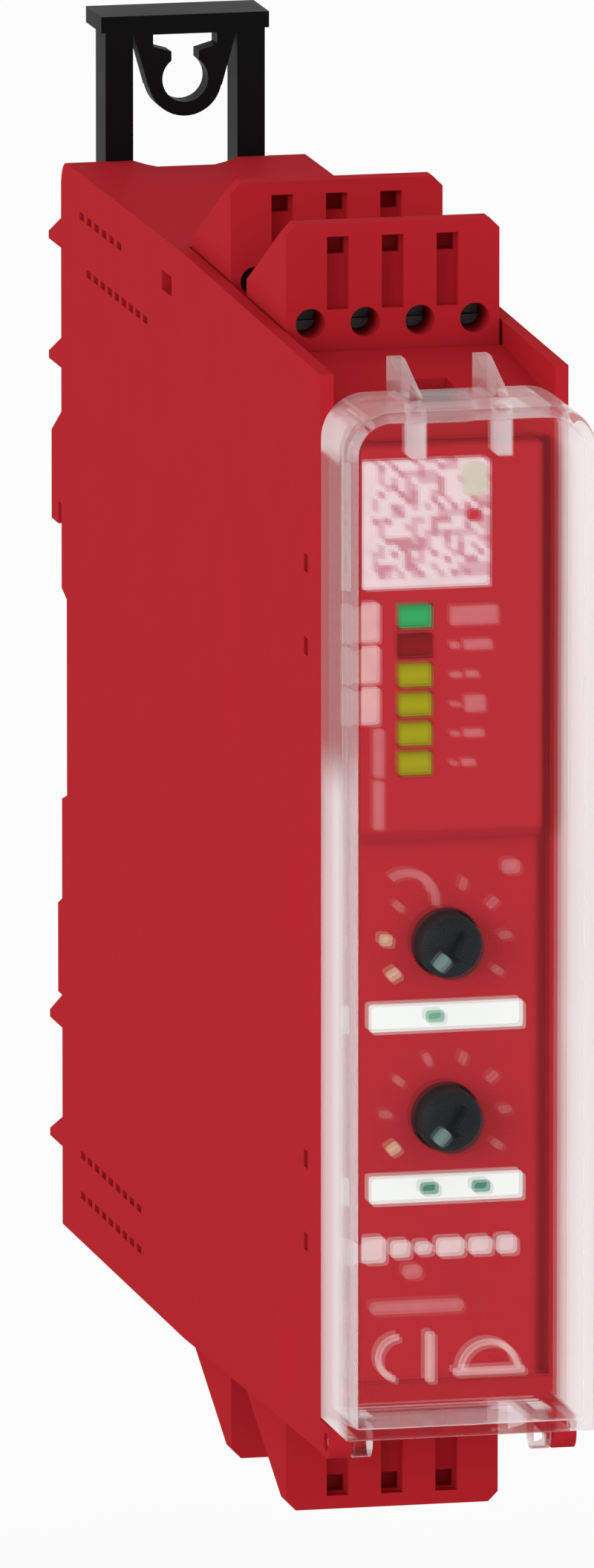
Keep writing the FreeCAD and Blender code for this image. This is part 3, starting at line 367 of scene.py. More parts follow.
def spread_rough(tree, value, rough, spread, shader):
    """Roughness that follows a noise value round a middle one."""
    result = grade(tree, (-400, 0), value, rough + spread[0], rough + spread[1])
    tree.links.new(result, shader.inputs["Roughness"])


def mix_colour(tree, at, factor, first, second):
    """Mix of two colours, each a socket or a plain colour, by a factor socket."""
    node = tree.nodes.new("ShaderNodeMix")
    node.data_type = "RGBA"
    node.location = at
    for socket, value in zip((node.inputs[0], node.inputs[6], node.inputs[7]), (factor, first, second)):
        if isinstance(value, bpy.types.NodeSocket):
            tree.links.new(value, socket)
        else:
            socket.default_value = (*value, 1)
    return node.outputs[2]


def shade(rgb, share):
    """A colour made darker or lighter by a share."""
    return tuple(min(1.0, c * share) for c in rgb)


def plastic(name, rgb, rough=0.5, grain=GRAIN, bump=0.12, flow=FLOW, spread=0.06, gloss=0.1):
    """Moulded plastic: eroded grain in the height, slow flow marks in colour and roughness."""
    material, tree, shader, place = new_material(name, rgb)
    marks = add_node(tree, "ShaderNodeGroup", (-900, 0))
    marks.node_tree = moulded_grain()
    marks.inputs["Grain Scale"].default_value = grain
    marks.inputs["Flow Scale"].default_value = flow
    tree.links.new(place, marks.inputs["Vector"])
    tone = grade(tree, (-650, 200), marks.outputs["Mottle"], 0.0, 1.0)
    tint = mix_colour(tree, (-400, 200), tone, shade(rgb, 1 - spread), shade(rgb, 1 + spread))
    tree.links.new(tint, shader.inputs["Base Color"])
    spread_rough(tree, marks.outputs["Mottle"], rough, PLASTIC_SPREAD, shader)
    relief = add_node(tree, "ShaderNodeBump", (-300, -250), Strength=bump, Distance=PLASTIC_RELIEF)
    tree.links.new(marks.outputs["Height"], relief.inputs["Height"])
    tree.links.new(relief.outputs["Normal"], shader.inputs["Normal"])
    shader.inputs["Specular IOR Level"].default_value = gloss
    return material


def metal(name, rgb, rough=0.34):
    """Drawn or plated metal with fine lines in colour, roughness and height."""
    material, tree, shader, place = new_material(name, rgb)
    lines = add_node(tree, "ShaderNodeGroup", (-900, 0))
    lines.node_tree = brushed_lines()
    tree.links.new(place, lines.inputs["Vector"])
    tone = grade(tree, (-650, 200), lines.outputs["Streak"], 0.0, 1.0)
    tint = mix_colour(tree, (-400, 200), tone, shade(rgb, METAL_DARK), rgb)
    tree.links.new(tint, shader.inputs["Base Color"])
    spread_rough(tree, lines.outputs["Streak"], rough, METAL_SPREAD, shader)
    relief = add_node(tree, "ShaderNodeBump", (-300, -250), Strength=METAL_BUMP, Distance=METAL_RELIEF)
    tree.links.new(lines.outputs["Height"], relief.inputs["Height"])
    tree.links.new(relief.outputs["Normal"], shader.inputs["Normal"])
    shader.inputs["Metallic"].default_value = 1.0
    return material


def dress(names, material):
    """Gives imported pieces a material."""
    for name in names:
        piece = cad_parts[name]
        piece.data.materials.clear()
        piece.data.materials.append(material)


# ------------ mesh helpers


SAME_POINT = 1e-7
NO_LENGTH = 1e-9
ARC_STEPS = 24


def new_piece(name, bm, body, material, smooth=False):
    """A finished piece made from a bmesh, riding on a body."""
    bmesh.ops.remove_doubles(bm, verts=bm.verts, dist=SAME_POINT)
    bmesh.ops.recalc_face_normals(bm, faces=bm.faces)
    mesh = bpy.data.meshes.new(name)
    bm.to_mesh(mesh)
    bm.free()
    for polygon in mesh.polygons:
        polygon.use_smooth = smooth
    mesh.materials.append(material)
    piece = bpy.data.objects.new(name, mesh)
    bpy.context.scene.collection.objects.link(piece)
    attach(piece, body)
    return piece


def add_plate(bm, centre, wide, tall, thick, corner, turn=0.0):
    """A thin plate facing -Y with rounded corners; turn is clockwise seen from the front."""
    made = bmesh.ops.create_cube(bm, size=1)
    corners = made["verts"]
    bmesh.ops.scale(bm, verts=corners, vec=(wide, thick, tall))
    edges = [e for e in bm.edges if e.verts[0] in corners and along_y(e)]
    rounded = bmesh.ops.bevel(
        bm, geom=edges, offset=corner, offset_type="OFFSET", segments=3, profile=0.5,
        affect="EDGES", material=-1,
    )
    corners = list({v for v in corners if v.is_valid} | set(rounded["verts"]))
    place = Matrix.Translation(centre) @ Matrix.Rotation(turn, 4, "Y")
    bmesh.ops.transform(bm, matrix=place, verts=corners)


def along_y(edge):
    """True for an edge that runs front to back."""
    span = edge.verts[0].co - edge.verts[1].co
    return abs(span.y) > NO_LENGTH > max(abs(span.x), abs(span.z))


def add_arc(bm, centre, radius, wide, thick, start, sweep):
    """A flat ring segment facing -Y; angles are degrees clockwise from straight up."""
    profile = [
        bm.verts.new((centre.x, centre.y + side * thick / 2, centre.z + radius + reach * wide / 2))
        for side, reach in ((-1, -1), (1, -1), (1, 1), (-1, 1))
    ]
    face = bm.faces.new(profile)
    turn = Matrix.Rotation(math.radians(start), 3, "Y")
    bmesh.ops.rotate(bm, verts=profile, cent=centre, matrix=turn)
    bmesh.ops.spin(
        bm, geom=[face], cent=centre, axis=(0, 1, 0), angle=math.radians(sweep), steps=ARC_STEPS,
        use_merge=False,
    )


# ------------ operators


class RELAY_OT_finish_housing(bpy.types.Operator):
    """Moulded red plastic on the shell, its side cover, the terminal blocks and the panel"""

    bl_idname = "relay.finish_housing"
    bl_label = "Finish housing"

    def execute(self, context):
        tones = context.scene.relay_colours
        shell = plastic("red moulding", tones.shell, rough=0.58, spread=0.03, gloss=0.003)
        dress(["housing_shell", "side_cover"] + [f"{plug}_plug" for plug in PLUGS], shell)
        panel = plastic(
            "red panel", tones.panel, rough=0.5, grain=3400.0, bump=0.06, spread=0.03, gloss=0.003
        )
        dress(["front_panel"], panel)
        return {"FINISHED"}


class RELAY_OT_finish_slides(bpy.types.Operator):
    """Black plastic on the mounting slide and the rail latch"""

    bl_idname = "relay.finish_slides"
    bl_label = "Finish slides"

    def execute(self, context):
        tones = context.scene.relay_colours
        black = plastic("black moulding", tones.slide, rough=0.4, bump=0.1, gloss=0.02)
        dress(["mounting_slide", "rail_latch"], black)
        return {"FINISHED"}


GLASS = {
    "Transmission Weight": 1.0,
    "IOR": 1.12,
    "Coat Weight": 0.12,
    "Coat Roughness": 0.04,
}
GLASS_ROUGH = (0.02, 0.06)
# painted reflection and highlights on the clear cover: a white diffuse shader mixed onto its walls and
# hooks
REFLECTION_WHITE = (0.96, 0.96, 0.96, 1.0)
REFLECTION_SHARE = 0.85  # the painted reflection where it is strongest
END_SHARE, TIP_SHARE, RIB_SHARE = 0.3, 0.5, 0.28  # painted highlights on the end walls, and on the hooks
EDGE_ON = (0.55, 0.8)  # facing values at which the painted reflection starts and is whole
REFLECTION_STEPS = {  # masks of the painted reflection: axis, where the mask is 0, where it is 1
    "right": ("X", COVER_WALL, COVER_WALL + 0.3 * MM),
    "left": ("X", -COVER_WALL, -COVER_WALL - 0.3 * MM),
    "low": ("Z", 17.0 * MM, 11.0 * MM),
    "near": ("Y", COVER_FACE, COVER_FACE + 6.0 * MM),
    "far": ("Y", COVER_FACE + 15.0 * MM, COVER_FACE + 8.0 * MM),
    "foot": ("Z", COVER_LOW.z + 2.2 * MM, COVER_LOW.z + 1.6 * MM),
    "head": ("Z", COVER_TOP - 1.6 * MM, COVER_TOP - 1.2 * MM),
    "high": ("Z", COVER_TOP - 5.4 * MM, COVER_TOP - 4.8 * MM),
    "under": ("Z", COVER_TOP - 1.2 * MM, COVER_TOP - 1.9 * MM),
    "ribs": ("Z", COVER_TOP, COVER_TOP + 0.5 * MM),
    "inner": ("Y", COVER_FACE + 4.2 * MM, COVER_FACE + 4.6 * MM),
    "between": ("X", COVER_WALL - 0.2 * MM, COVER_WALL - 0.8 * MM),
}


class RELAY_OT_finish_cover(bpy.types.Operator):
    """Clear hinged cover, which lets the lamps through, with a painted white reflection on its walls
    and painted highlights on its hooks
    """

    bl_idname = "relay.finish_cover"
    bl_label = "Finish cover"

    def execute(self, context):
        tones = context.scene.relay_colours
        material, tree, shader, place = new_material("clear moulding", tones.cover)
        grain = add_node(tree, "ShaderNodeGroup", (-900, -300))
        grain.node_tree = moulded_grain()
        tree.links.new(place, grain.inputs["Vector"])
        spread_rough(tree, grain.outputs["Mottle"], 0, GLASS_ROUGH, shader)
        for name, value in GLASS.items():
            shader.inputs[name].default_value = value
        # painted reflection: white diffuse mixed over the glass wherever the mask says
        painted_reflection = add_node(tree, "ShaderNodeBsdfDiffuse", (0, 200), Color=REFLECTION_WHITE)
        glass_with_painted_reflection = mix_shaders(tree, (150, 100), painted_reflection_mask(tree, place), shader, painted_reflection)
        open_air = add_node(tree, "ShaderNodeBsdfTransparent", (0, -300))
        path = add_node(tree, "ShaderNodeLightPath", (-400, 900))
        lit = either(tree, path.outputs["Is Shadow Ray"], path.outputs["Is Diffuse Ray"])
        clear = either(tree, lit, tones.clearness)
        mixer = mix_shaders(tree, (300, 0), clear, glass_with_painted_reflection, open_air)
        tree.links.new(mixer.outputs[0], tree.nodes["Material Output"].inputs["Surface"])
        dress(["clear_cover"], material)
        return {"FINISHED"}


def painted_reflection_mask(tree, place):
    """Mask of the painted reflection on the cover: its walls where they are seen edge-on, and painted
    highlights on its hooks.
    """
    split = add_node(tree, "ShaderNodeSeparateXYZ", (-1500, 300))
    tree.links.new(place, split.inputs[0])
    facing = add_node(tree, "ShaderNodeLayerWeight", (-1500, 900))
    edge_on = ramp_mask(tree, (-1300, 900), facing.outputs["Facing"], *EDGE_ON)
    step = {}
    for row, (name, (axis, start, end)) in enumerate(REFLECTION_STEPS.items()):
        step[name] = ramp_mask(tree, (-1300, 700 - 150 * row), split.outputs[axis], start, end)
    band = both(tree, step["near"], step["far"])
    left_band = both(tree, both(tree, step["left"], step["low"]), band)
    ends = both(tree, either(tree, step["foot"], step["head"]), END_SHARE)
    walls = either(tree, either(tree, step["right"], left_band), ends)
    tips = both(tree, both(tree, step["high"], step["under"]), TIP_SHARE)
    ribs = both(tree, step["ribs"], RIB_SHARE)
    hooks = both(tree, both(tree, either(tree, tips, ribs), step["inner"]), step["between"])
    return both(tree, either(tree, both(tree, walls, edge_on), hooks), REFLECTION_SHARE)


def both(tree, first, second):
    """Product of two masks."""
    return add_math(tree, "MULTIPLY", free_spot(tree), first, second)


def either(tree, first, second):
    """The larger of two masks."""
    return add_math(tree, "MAXIMUM", free_spot(tree), first, second)


def free_spot(tree):
    """A place for the next Math node, a little lower and further right than the last."""
    count = sum(node.type == "MATH" for node in tree.nodes)
    return -1000 + 60 * count, 700 - 90 * count


def mix_shaders(tree, at, factor, first, second):
    """A Mix Shader node between the outputs of two shader nodes."""
    mixer = add_node(tree, "ShaderNodeMixShader", at)
    for socket, source in zip(mixer.inputs, (factor, first.outputs[0], second.outputs[0])):
        tree.links.new(source, socket)
    return mixer


def ramp_mask(tree, at, value, start, end):
    """A soft step from 0 at start to 1 at end."""
    ramp = add_node(tree, "ShaderNodeMapRange", at, From_Min=start, From_Max=end)
    ramp.interpolation_type = "SMOOTHSTEP"
    tree.links.new(value, ramp.inputs["Value"])
    return ramp.outputs["Result"]


POINTER_REACH = 0.56  # of the knob's radius
POINTER_WIDE, POINTER_TALL = 1.25 * MM, 1.5 * MM
POINTER_THICK, POINTER_CORNER = 0.06 * MM, 0.4 * MM


class RELAY_OT_finish_knobs(bpy.types.Operator):
    """Dark satin knobs, each with a pale pointer spot that turns with it"""

    bl_idname = "relay.finish_knobs"
    bl_label = "Finish knobs"

    def execute(self, context):
        tones = context.scene.relay_colours
        dress(["upper_selector_knob", "lower_selector_knob"],
              plastic("knob moulding", tones.knob, rough=0.4, grain=4200.0, bump=0.05, gloss=0.05))
        pale = print_material("pointer paint", tones.pointer)
        turn = context.scene.relay_marks.pointer_turn
        reach = KNOB_RADIUS * POINTER_REACH
        for name, dial in (("upper", UPPER_DIAL), ("lower", LOWER_DIAL)):
            bm = bmesh.new()
            x = dial.x + reach * math.sin(turn)
            z = dial.z + reach * math.cos(turn)
            spot = Vector((x, KNOB_FACE - POINTER_THICK / 2, z))
            add_plate(bm, spot, POINTER_WIDE, POINTER_TALL, POINTER_THICK, POINTER_CORNER, turn)
            new_piece(f"{name}_pointer", bm, f"{name}_knob", pale)
        return {"FINISHED"}


GREEN_GLOW, YELLOW_GLOW, RED_GLOW = 0.55, 0.5, 0.0
LAMP_DARK, LAMP_BRIGHT = 0.75, 1.2  # a lamp's edge and middle, as shares of its colour
LAMP_ROUGH, LAMP_GLOSS = 0.22, 0.06


class RELAY_OT_finish_lamps(bpy.types.Operator):
    """Lamp windows: green and yellow lit, red dark, with brighter middles"""

    bl_idname = "relay.finish_lamps"
    bl_label = "Finish lamps"

    def execute(self, context):
        tones = context.scene.relay_colours
        windows = (
            ("green lamp", tones.green_lamp, "green_lamp_window", GREEN_GLOW),
            ("yellow lamp", tones.yellow_lamp, "yellow_lamp_windows", YELLOW_GLOW),
            ("red lamp", tones.red_lamp, "red_lamp_window", RED_GLOW),
        )
        for name, tone, piece, glow in windows:
            dress([piece], lamp_material(name, tone, glow))
        return {"FINISHED"}


def lamp_material(name, rgb, glow):
    """Diffusing lamp window, brightest in the middle of each lamp's height."""
    material, tree, shader, place = new_material(name, rgb)
    split = add_node(tree, "ShaderNodeSeparateXYZ", (-1000, 0))
    tree.links.new(place, split.inputs[0])
    offset = add_math(tree, "SUBTRACT", (-800, 0), split.outputs["Z"], LAMP.z + LAMP_PITCH / 2)
    wave = add_math(tree, "PINGPONG", (-600, 0), offset, LAMP_PITCH / 2)
    share = add_math(tree, "DIVIDE", (-400, 0), wave, LAMP_PITCH / 2)
    tint = mix_colour(tree, (-200, 100), share, shade(rgb, LAMP_DARK), shade(rgb, LAMP_BRIGHT))
    tree.links.new(tint, shader.inputs["Base Color"])
    tree.links.new(tint, shader.inputs["Emission Color"])
    shader.inputs["Emission Strength"].default_value = glow
    shader.inputs["Roughness"].default_value = LAMP_ROUGH
    shader.inputs["Specular IOR Level"].default_value = LAMP_GLOSS
    return material


# linear colours of what a user would hardly change
# partly the real plating's grey, darkened further as painted shade for the wire holes
SHADE_DARKENED_ZINC = (0.2, 0.2, 0.2)
TIN = (0.7, 0.69, 0.66)
BLACKENED = (0.1, 0.1, 0.1)
CONNECTOR = (0.015, 0.015, 0.016)
RESIST = (0.02, 0.12, 0.05)
CASING = (0.6, 0.6, 0.58)
COMPONENT = (0.02, 0.02, 0.022)
ALUMINIUM = (0.7, 0.7, 0.72)
FERRITE = (0.05, 0.05, 0.055)
CHIP = (0.9, 0.88, 0.7)
SPRING = (0.55, 0.55, 0.56)


class RELAY_OT_finish_terminals(bpy.types.Operator):
    """Plated clamps and screws, tinned contacts and pins, dark headers; the clamps' colour is darkened
    as painted shade in the wire holes
    """

    bl_idname = "relay.finish_terminals"
    bl_label = "Finish terminals"

    def execute(self, context):
        tin = metal("tinned brass", TIN, rough=0.28)
        looks = {
            "clamps": metal("plated steel with painted shade", SHADE_DARKENED_ZINC),
            "screws": metal("blackened steel", BLACKENED, rough=0.5),
            "contacts": tin,
            "pins": tin,
            "header": plastic("connector moulding", CONNECTOR, rough=0.4),
        }
        for part, look in looks.items():
            dress([f"{plug}_{part}" for plug in PLUGS], look)
        return {"FINISHED"}


class RELAY_OT_finish_inside(bpy.types.Operator):
    """Boards, relays, capacitors, transformer, controllers, switches and lamp chips"""

    bl_idname = "relay.finish_inside"
    bl_label = "Finish inside"

    def execute(self, context):
        dress(["front_board", "main_board", "top_terminal_board", "bottom_terminal_board"],
              plastic("solder resist", RESIST, rough=0.28, grain=1500.0, flow=240.0, spread=0.2))
        dress(["safety_relay_a", "safety_relay_b"], plastic("relay casing", CASING, rough=0.4))
        dress(["controllers", "upper_selector_switch", "lower_selector_switch", "board_link"],
              plastic("component moulding", COMPONENT, rough=0.45))
        dress(["capacitors"], metal("can aluminium", ALUMINIUM, rough=0.3))
        dress(["transformer"], plastic("ferrite", FERRITE, rough=0.6, bump=0.3))
        dress(["status_lamps"], plastic("lamp chips", CHIP, rough=0.25))
        return {"FINISHED"}


WIRE_SIDES = 10


class RELAY_OT_add_latch_spring(bpy.types.Operator):
    """Coil spring of the rail latch on its peg, wound in place of the imported spring"""

    bl_idname = "relay.add_latch_spring"
    bl_label = "Add latch spring"

    def execute(self, context):
        sizes = context.scene.relay_spring
        low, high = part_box("latch_spring")
        centre = (low + high) / 2
        radius = (high.x - low.x - sizes.wire) / 2
        rise = high.z - low.z - sizes.wire
        bm = bmesh.new()
        section = bmesh.ops.create_circle(
            bm, cap_ends=True, segments=WIRE_SIDES, radius=sizes.wire / 2
        )["verts"]
        upright = Matrix.Rotation(math.pi / 2, 4, "X")
        start = Vector((centre.x + radius, centre.y, low.z + sizes.wire / 2))
        bmesh.ops.transform(bm, matrix=Matrix.Translation(start) @ upright, verts=section)
        steps = sizes.turns * sizes.steps_per_turn
        bmesh.ops.spin(
            bm, geom=list(bm.faces), cent=centre, axis=(0, 0, 1), dvec=(0, 0, rise / steps),
            angle=2 * math.pi * sizes.turns, steps=steps, use_merge=False,
        )
        steel = metal("spring steel", SPRING, rough=0.25)
        spring = new_piece("coil_spring", bm, "housing", steel, smooth=True)
        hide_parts("latch_spring")
        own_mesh(spring)
        return {"FINISHED"}


FIELD_ASIDE, FIELD_ABOVE = 1.0 * MM, 8.3 * MM  # from the green lamp to the field's middle
FIELD_CORNER = 0.2 * MM
BLOCK_IN, BLOCK_DOWN = 1.35 * MM, 1.9 * MM  # from the field's edges to the plain block
BLOCK_WIDE, BLOCK_TALL, BLOCK_CORNER = 2.3 * MM, 3.0 * MM, 0.6 * MM
RIM = 0.9 * MM
GAP_IN, GAP_ABOVE = 1.4 * MM, 0.6 * MM  # from the field's edge and middle to the gap
GAP_WIDE, GAP_TALL, GAP_CORNER = 1.3 * MM, 1.2 * MM, 0.4 * MM
OVERLAP = 1.2  # of the film: the second rim, whose face stays clear of the first one's
MIDDLE_CELLS, PALE_CELLS = 0.22, 0.5  # chance values above which a cell is middling or pale


class RELAY_OT_add_code_field(bpy.types.Operator):
    """Square field above the lamps: cells of chance tones, a plain block, two rims and a gap"""

    bl_idname = "relay.add_code_field"
    bl_label = "Add patterned field"

    def execute(self, context):
        tones = context.scene.relay_colours
        marks = context.scene.relay_marks
        film, side = marks.film, marks.code_side
        reach = side / 2
        centre = on_panel(LAMP.x + FIELD_ASIDE, LAMP.z + FIELD_ABOVE, film)
        bm = bmesh.new()
        add_plate(bm, centre, side, side, film, FIELD_CORNER)
        field = new_piece("patterned_field", bm, "housing", cell_print("patterned print", tones, marks))
        bm = bmesh.new()
        block = centre + Vector((reach - BLOCK_IN, -film, reach - BLOCK_DOWN))
        add_plate(bm, block, BLOCK_WIDE, BLOCK_TALL, film, BLOCK_CORNER)
        new_piece("field_corner", bm, "housing", print_material("cream print", tones.corner))
        bm = bmesh.new()
        lip = reach - RIM / 2
        add_plate(bm, centre + Vector((-lip, -film, 0)), RIM, side, film, FIELD_CORNER)
        add_plate(bm, centre + Vector((0, -film * OVERLAP, -lip)), side, RIM, film, FIELD_CORNER)
        new_piece("field_rims", bm, "housing", print_material("rim print", tones.code))
        bm = bmesh.new()
        gap = centre + Vector((reach - GAP_IN, -film, GAP_ABOVE))
        add_plate(bm, gap, GAP_WIDE, GAP_TALL, film, GAP_CORNER)
        new_piece("field_gap", bm, "housing", print_material("gap print", tones.gap))
        return {"FINISHED"}


def cell_print(name, tones, marks):
    """Print of small square cells, each pale, middling or deep by chance."""
    material, tree, shader, place = new_material(name, tones.code)
    cells = add_node(tree, "ShaderNodeVectorMath", (-1000, 0))
    cells.operation = "SCALE"
    cells.inputs["Scale"].default_value = 1 / marks.code_cell
    whole = add_node(tree, "ShaderNodeVectorMath", (-800, 0))
    whole.operation = "FLOOR"
    split = add_node(tree, "ShaderNodeSeparateXYZ", (-650, 0))
    flat = add_node(tree, "ShaderNodeCombineXYZ", (-500, 0))
    chance = add_node(tree, "ShaderNodeTexWhiteNoise", (-350, 0))
    chance.noise_dimensions = "3D"
    tree.links.new(place, cells.inputs[0])
    tree.links.new(cells.outputs[0], whole.inputs[0])
    tree.links.new(whole.outputs[0], split.inputs[0])
    tree.links.new(split.outputs["X"], flat.inputs["X"])
    tree.links.new(split.outputs["Z"], flat.inputs["Z"])
    tree.links.new(flat.outputs[0], chance.inputs["Vector"])
    middle_cells = add_math(tree, "GREATER_THAN", (-150, 0), chance.outputs["Value"], MIDDLE_CELLS)
    pale_cells = add_math(tree, "GREATER_THAN", (-150, -200), chance.outputs["Value"], PALE_CELLS)
    tint = mix_colour(tree, (50, 0), middle_cells, tones.code_deep, tones.code_mid)
    tint = mix_colour(tree, (200, 0), pale_cells, tint, tones.code)
    tree.links.new(tint, shader.inputs["Base Color"])
    shader.inputs["Roughness"].default_value = 0.5
    return material


def print_material(name, rgb):
    """Screen-printed ink: matt, with a slightly uneven film."""
    return plastic(name, rgb, rough=0.5, grain=5200.0, bump=0.05, flow=900.0, spread=0.05)


# sizes and places of small marks below are in millimetres, where no unit is given
DASH_START, DASH_DROP, DASH_CORNER = 1.7, 0.1, 0.12  # from a lamp's edge and middle
DASHES = (  # (width, height) of the dashes beside each lamp, from the top
    ((4.4, 1.7),),
    ((0.9, 0.6), (2.6, 0.9)),
    ((1.1, 0.5), (1.2, 0.6)),
    ((1.0, 0.4), (1.9, 1.5)),
    ((0.9, 0.4), (1.9, 0.7)),
    ((0.7, 0.4), (1.3, 0.6)),
)
DASH_GAP = 0.35
BAND_IN, BAND_WIDE, BAND_CORNER = 0.95, 1.7, 0.3
BAND = ((26.7, 3.6), (22.9, 3.4), (19.2, 3.4))  # (height above the origin, length)
LINE_IN, LINE_WIDE, LINE_CORNER = 0.75, 1.0, 0.2
LINE = ((14.9, 4.4), (10.2, 4.4))


class RELAY_OT_add_lamp_marks(bpy.types.Operator):
    """Short dashes beside each lamp, and the upright band and line left of the lamps"""

    bl_idname = "relay.add_lamp_marks"
    bl_label = "Add lamp marks"

    def execute(self, context):
        tones = context.scene.relay_colours
        film = context.scene.relay_marks.film
        faint = print_material("faint print", tones.faint_print)
        pale = print_material("pale print", tones.white_print)
        start = LAMP.x + LAMP_WIDTH / 2 + DASH_START * MM
        bm = bmesh.new()
        for row, dashes in enumerate(DASHES):
            add_row(bm, start, LAMP.z - LAMP_PITCH * row - DASH_DROP * MM, dashes, film, DASH_CORNER)
        new_piece("lamp_dashes", bm, "housing", faint)
        edge = -PLATE_EDGE + BAND_IN * MM
        uprights = (
            ("upright_band", edge, BAND, BAND_WIDE, BAND_CORNER, pale),
            ("upright_line", edge + LINE_IN * MM, LINE, LINE_WIDE, LINE_CORNER, faint),
        )
        for name, x, spans, wide, corner, ink in uprights:
            bm = bmesh.new()
            for z, tall in spans:
                add_plate(bm, on_panel(x, z * MM, film), wide * MM, tall * MM, film, corner * MM)
            new_piece(name, bm, "housing", ink)
        return {"FINISHED"}


def on_panel(x, z, film):
    """Middle of a mark printed on the raised or the lower part of the panel."""
    face = RAISED_FACE if z > STEP else LOWER_FACE
    return Vector((x, face - film / 2, z))


def add_row(bm, x, z, sizes, film, corner):
    """Dashes in a row from x to the right; their sizes and their corner are in millimetres."""
    for wide, tall in sizes:
        add_plate(bm, on_panel(x + wide * MM / 2, z, film), wide * MM, tall * MM, film, corner * MM)
        x += (wide + DASH_GAP) * MM


FIRST_WIDER = 1.5  # a bright first tick, as a share of a plain one's width
TICK_CORNER = 0.25
ARC_ASIDE, ARC_ABOVE = 3.5, 3.8  # from the upper dial
ARC_RADIUS, ARC_WIDE, ARC_START, ARC_SWEEP = 2.6, 0.75, -35, 135
CROSSING = 1.6  # of the film, where two marks cross, so that no faces fall together
BOX_IN, BOX_ABOVE = 2.3, 6.6  # from the panel's edge and the upper dial
BOX_WIDE, BOX_TALL, BOX_CORNER = 1.7, 1.3, 0.4


class RELAY_OT_add_dial_marks(bpy.types.Operator):
    """Ticks round both dials, and the arc and small box above the upper one"""

    bl_idname = "relay.add_dial_marks"
    bl_label = "Add dial marks"

    def execute(self, context):
        tones = context.scene.relay_colours
        marks = context.scene.relay_marks
        plain = print_material("plain ticks", tones.tick)
        bright = print_material("bright ticks", tones.tick_dot)
        dials = (("upper_dial", UPPER_DIAL, (0, 1)), ("lower_dial", LOWER_DIAL, (0,)))
        for name, dial, first in dials:
            others = [n for n in range(marks.tick_count) if n not in first]
            ticks = draw_ticks(dial, marks, others, 1.0)
            new_piece(f"{name}_ticks", ticks, "housing", plain)
            ticks = draw_ticks(dial, marks, first, FIRST_WIDER)
            new_piece(f"{name}_first_ticks", ticks, "housing", bright)
        faint = print_material("arc print", tones.faint_print)
        bm = bmesh.new()
        centre = on_panel(UPPER_DIAL.x - ARC_ASIDE * MM, UPPER_DIAL.z + ARC_ABOVE * MM, marks.film)
        add_arc(bm, centre, ARC_RADIUS * MM, ARC_WIDE * MM, marks.film * CROSSING, ARC_START, ARC_SWEEP)
        box = on_panel(PLATE_EDGE - BOX_IN * MM, UPPER_DIAL.z + BOX_ABOVE * MM, marks.film)
        add_plate(bm, box, BOX_WIDE * MM, BOX_TALL * MM, marks.film, BOX_CORNER * MM)
        new_piece("dial_arc", bm, "housing", faint)
        return {"FINISHED"}


def draw_ticks(dial, marks, numbers, share):
    """The chosen ticks of a dial, their width scaled by a share."""
    bm = bmesh.new()
    radius = KNOB_RADIUS + marks.tick_gap + marks.tick_length / 2
    for n in numbers:
        turn = marks.tick_sweep * (n / (marks.tick_count - 1) - 0.5)
        x = dial.x + radius * math.sin(turn)
        z = dial.z + radius * math.cos(turn)
        add_plate(bm, on_panel(x, z, marks.film), marks.tick_width * share, marks.tick_length,
                  marks.film, TICK_CORNER * MM, turn)
    return bm


UPPER_STRIP_DROP, LOWER_STRIP_DROP = 6.6, 6.4  # from a dial to the strip below it
UPPER_SPOTS, LOWER_SPOTS = (-1.0,), (-1.5, 3.2)  # how far right of the middle
STRIP_CORNER = 0.3
SPOT_WIDE, SPOT_TALL, SPOT_CORNER = 1.7, 1.1, 0.3


class RELAY_OT_add_marking_strips(bpy.types.Operator):
    """White strips under each dial, with small coloured marks"""

    bl_idname = "relay.add_marking_strips"
    bl_label = "Add marking strips"

    def execute(self, context):
        tones = context.scene.relay_colours
        marks = context.scene.relay_marks
        thick = marks.strip_thickness
        white = plastic("strip plastic", tones.strip, rough=0.4, grain=3000.0, bump=0.05, spread=0.02)
        strips = (
            ("upper_strip", UPPER_DIAL.z - UPPER_STRIP_DROP * MM, tones.teal, UPPER_SPOTS),
            ("lower_strip", LOWER_DIAL.z - LOWER_STRIP_DROP * MM, tones.teal_dark, LOWER_SPOTS),
        )
        for name, height, tone, spots in strips:
            bm = bmesh.new()
            centre = on_panel(0, height, thick)
            add_plate(bm, centre, marks.strip_width, marks.strip_height, thick, STRIP_CORNER * MM)
            new_piece(name, bm, "housing", white)
            bm = bmesh.new()
            for x in spots:
                spot = centre + Vector((x * MM, -(thick + marks.film) / 2, 0))
                add_plate(bm, spot, SPOT_WIDE * MM, SPOT_TALL * MM, marks.film, SPOT_CORNER * MM)
            new_piece(f"{name}_marks", bm, "housing", print_material(f"{name} print", tone))
        return {"FINISHED"}


# places are (right of the middle, above the panel's foot)
HEADING = ((2.2, 2.4), (1.9, 1.6), (1.6, 1.2), (2.6, 1.7), (2.2, 1.6), (1.9, 1.7))
HEADING_START, HEADING_HEIGHT, HEADING_CORNER = -7.6, 12.9, 0.4
DOME_AT, DOME_RADIUS, DOME_START, DOME_SWEEP = (4.0, 1.5), 2.6, -90, 180
DOME_BASE = (6.6, 0.7)
HOOK_AT, HOOK_RADIUS, HOOK_START, HOOK_SWEEP = (-4.2, 3.0), 1.9, -170, 170
STEM_ASIDE, STEM = 2.8, (0.9, 4.6)
STROKE, STROKE_CORNER = 0.6, 0.2
BARS = (((-2.6, 7.6), (8.6, 1.2)), ((-3.0, 10.8), (1.8, 1.3)))
BAR_CORNER = 0.5


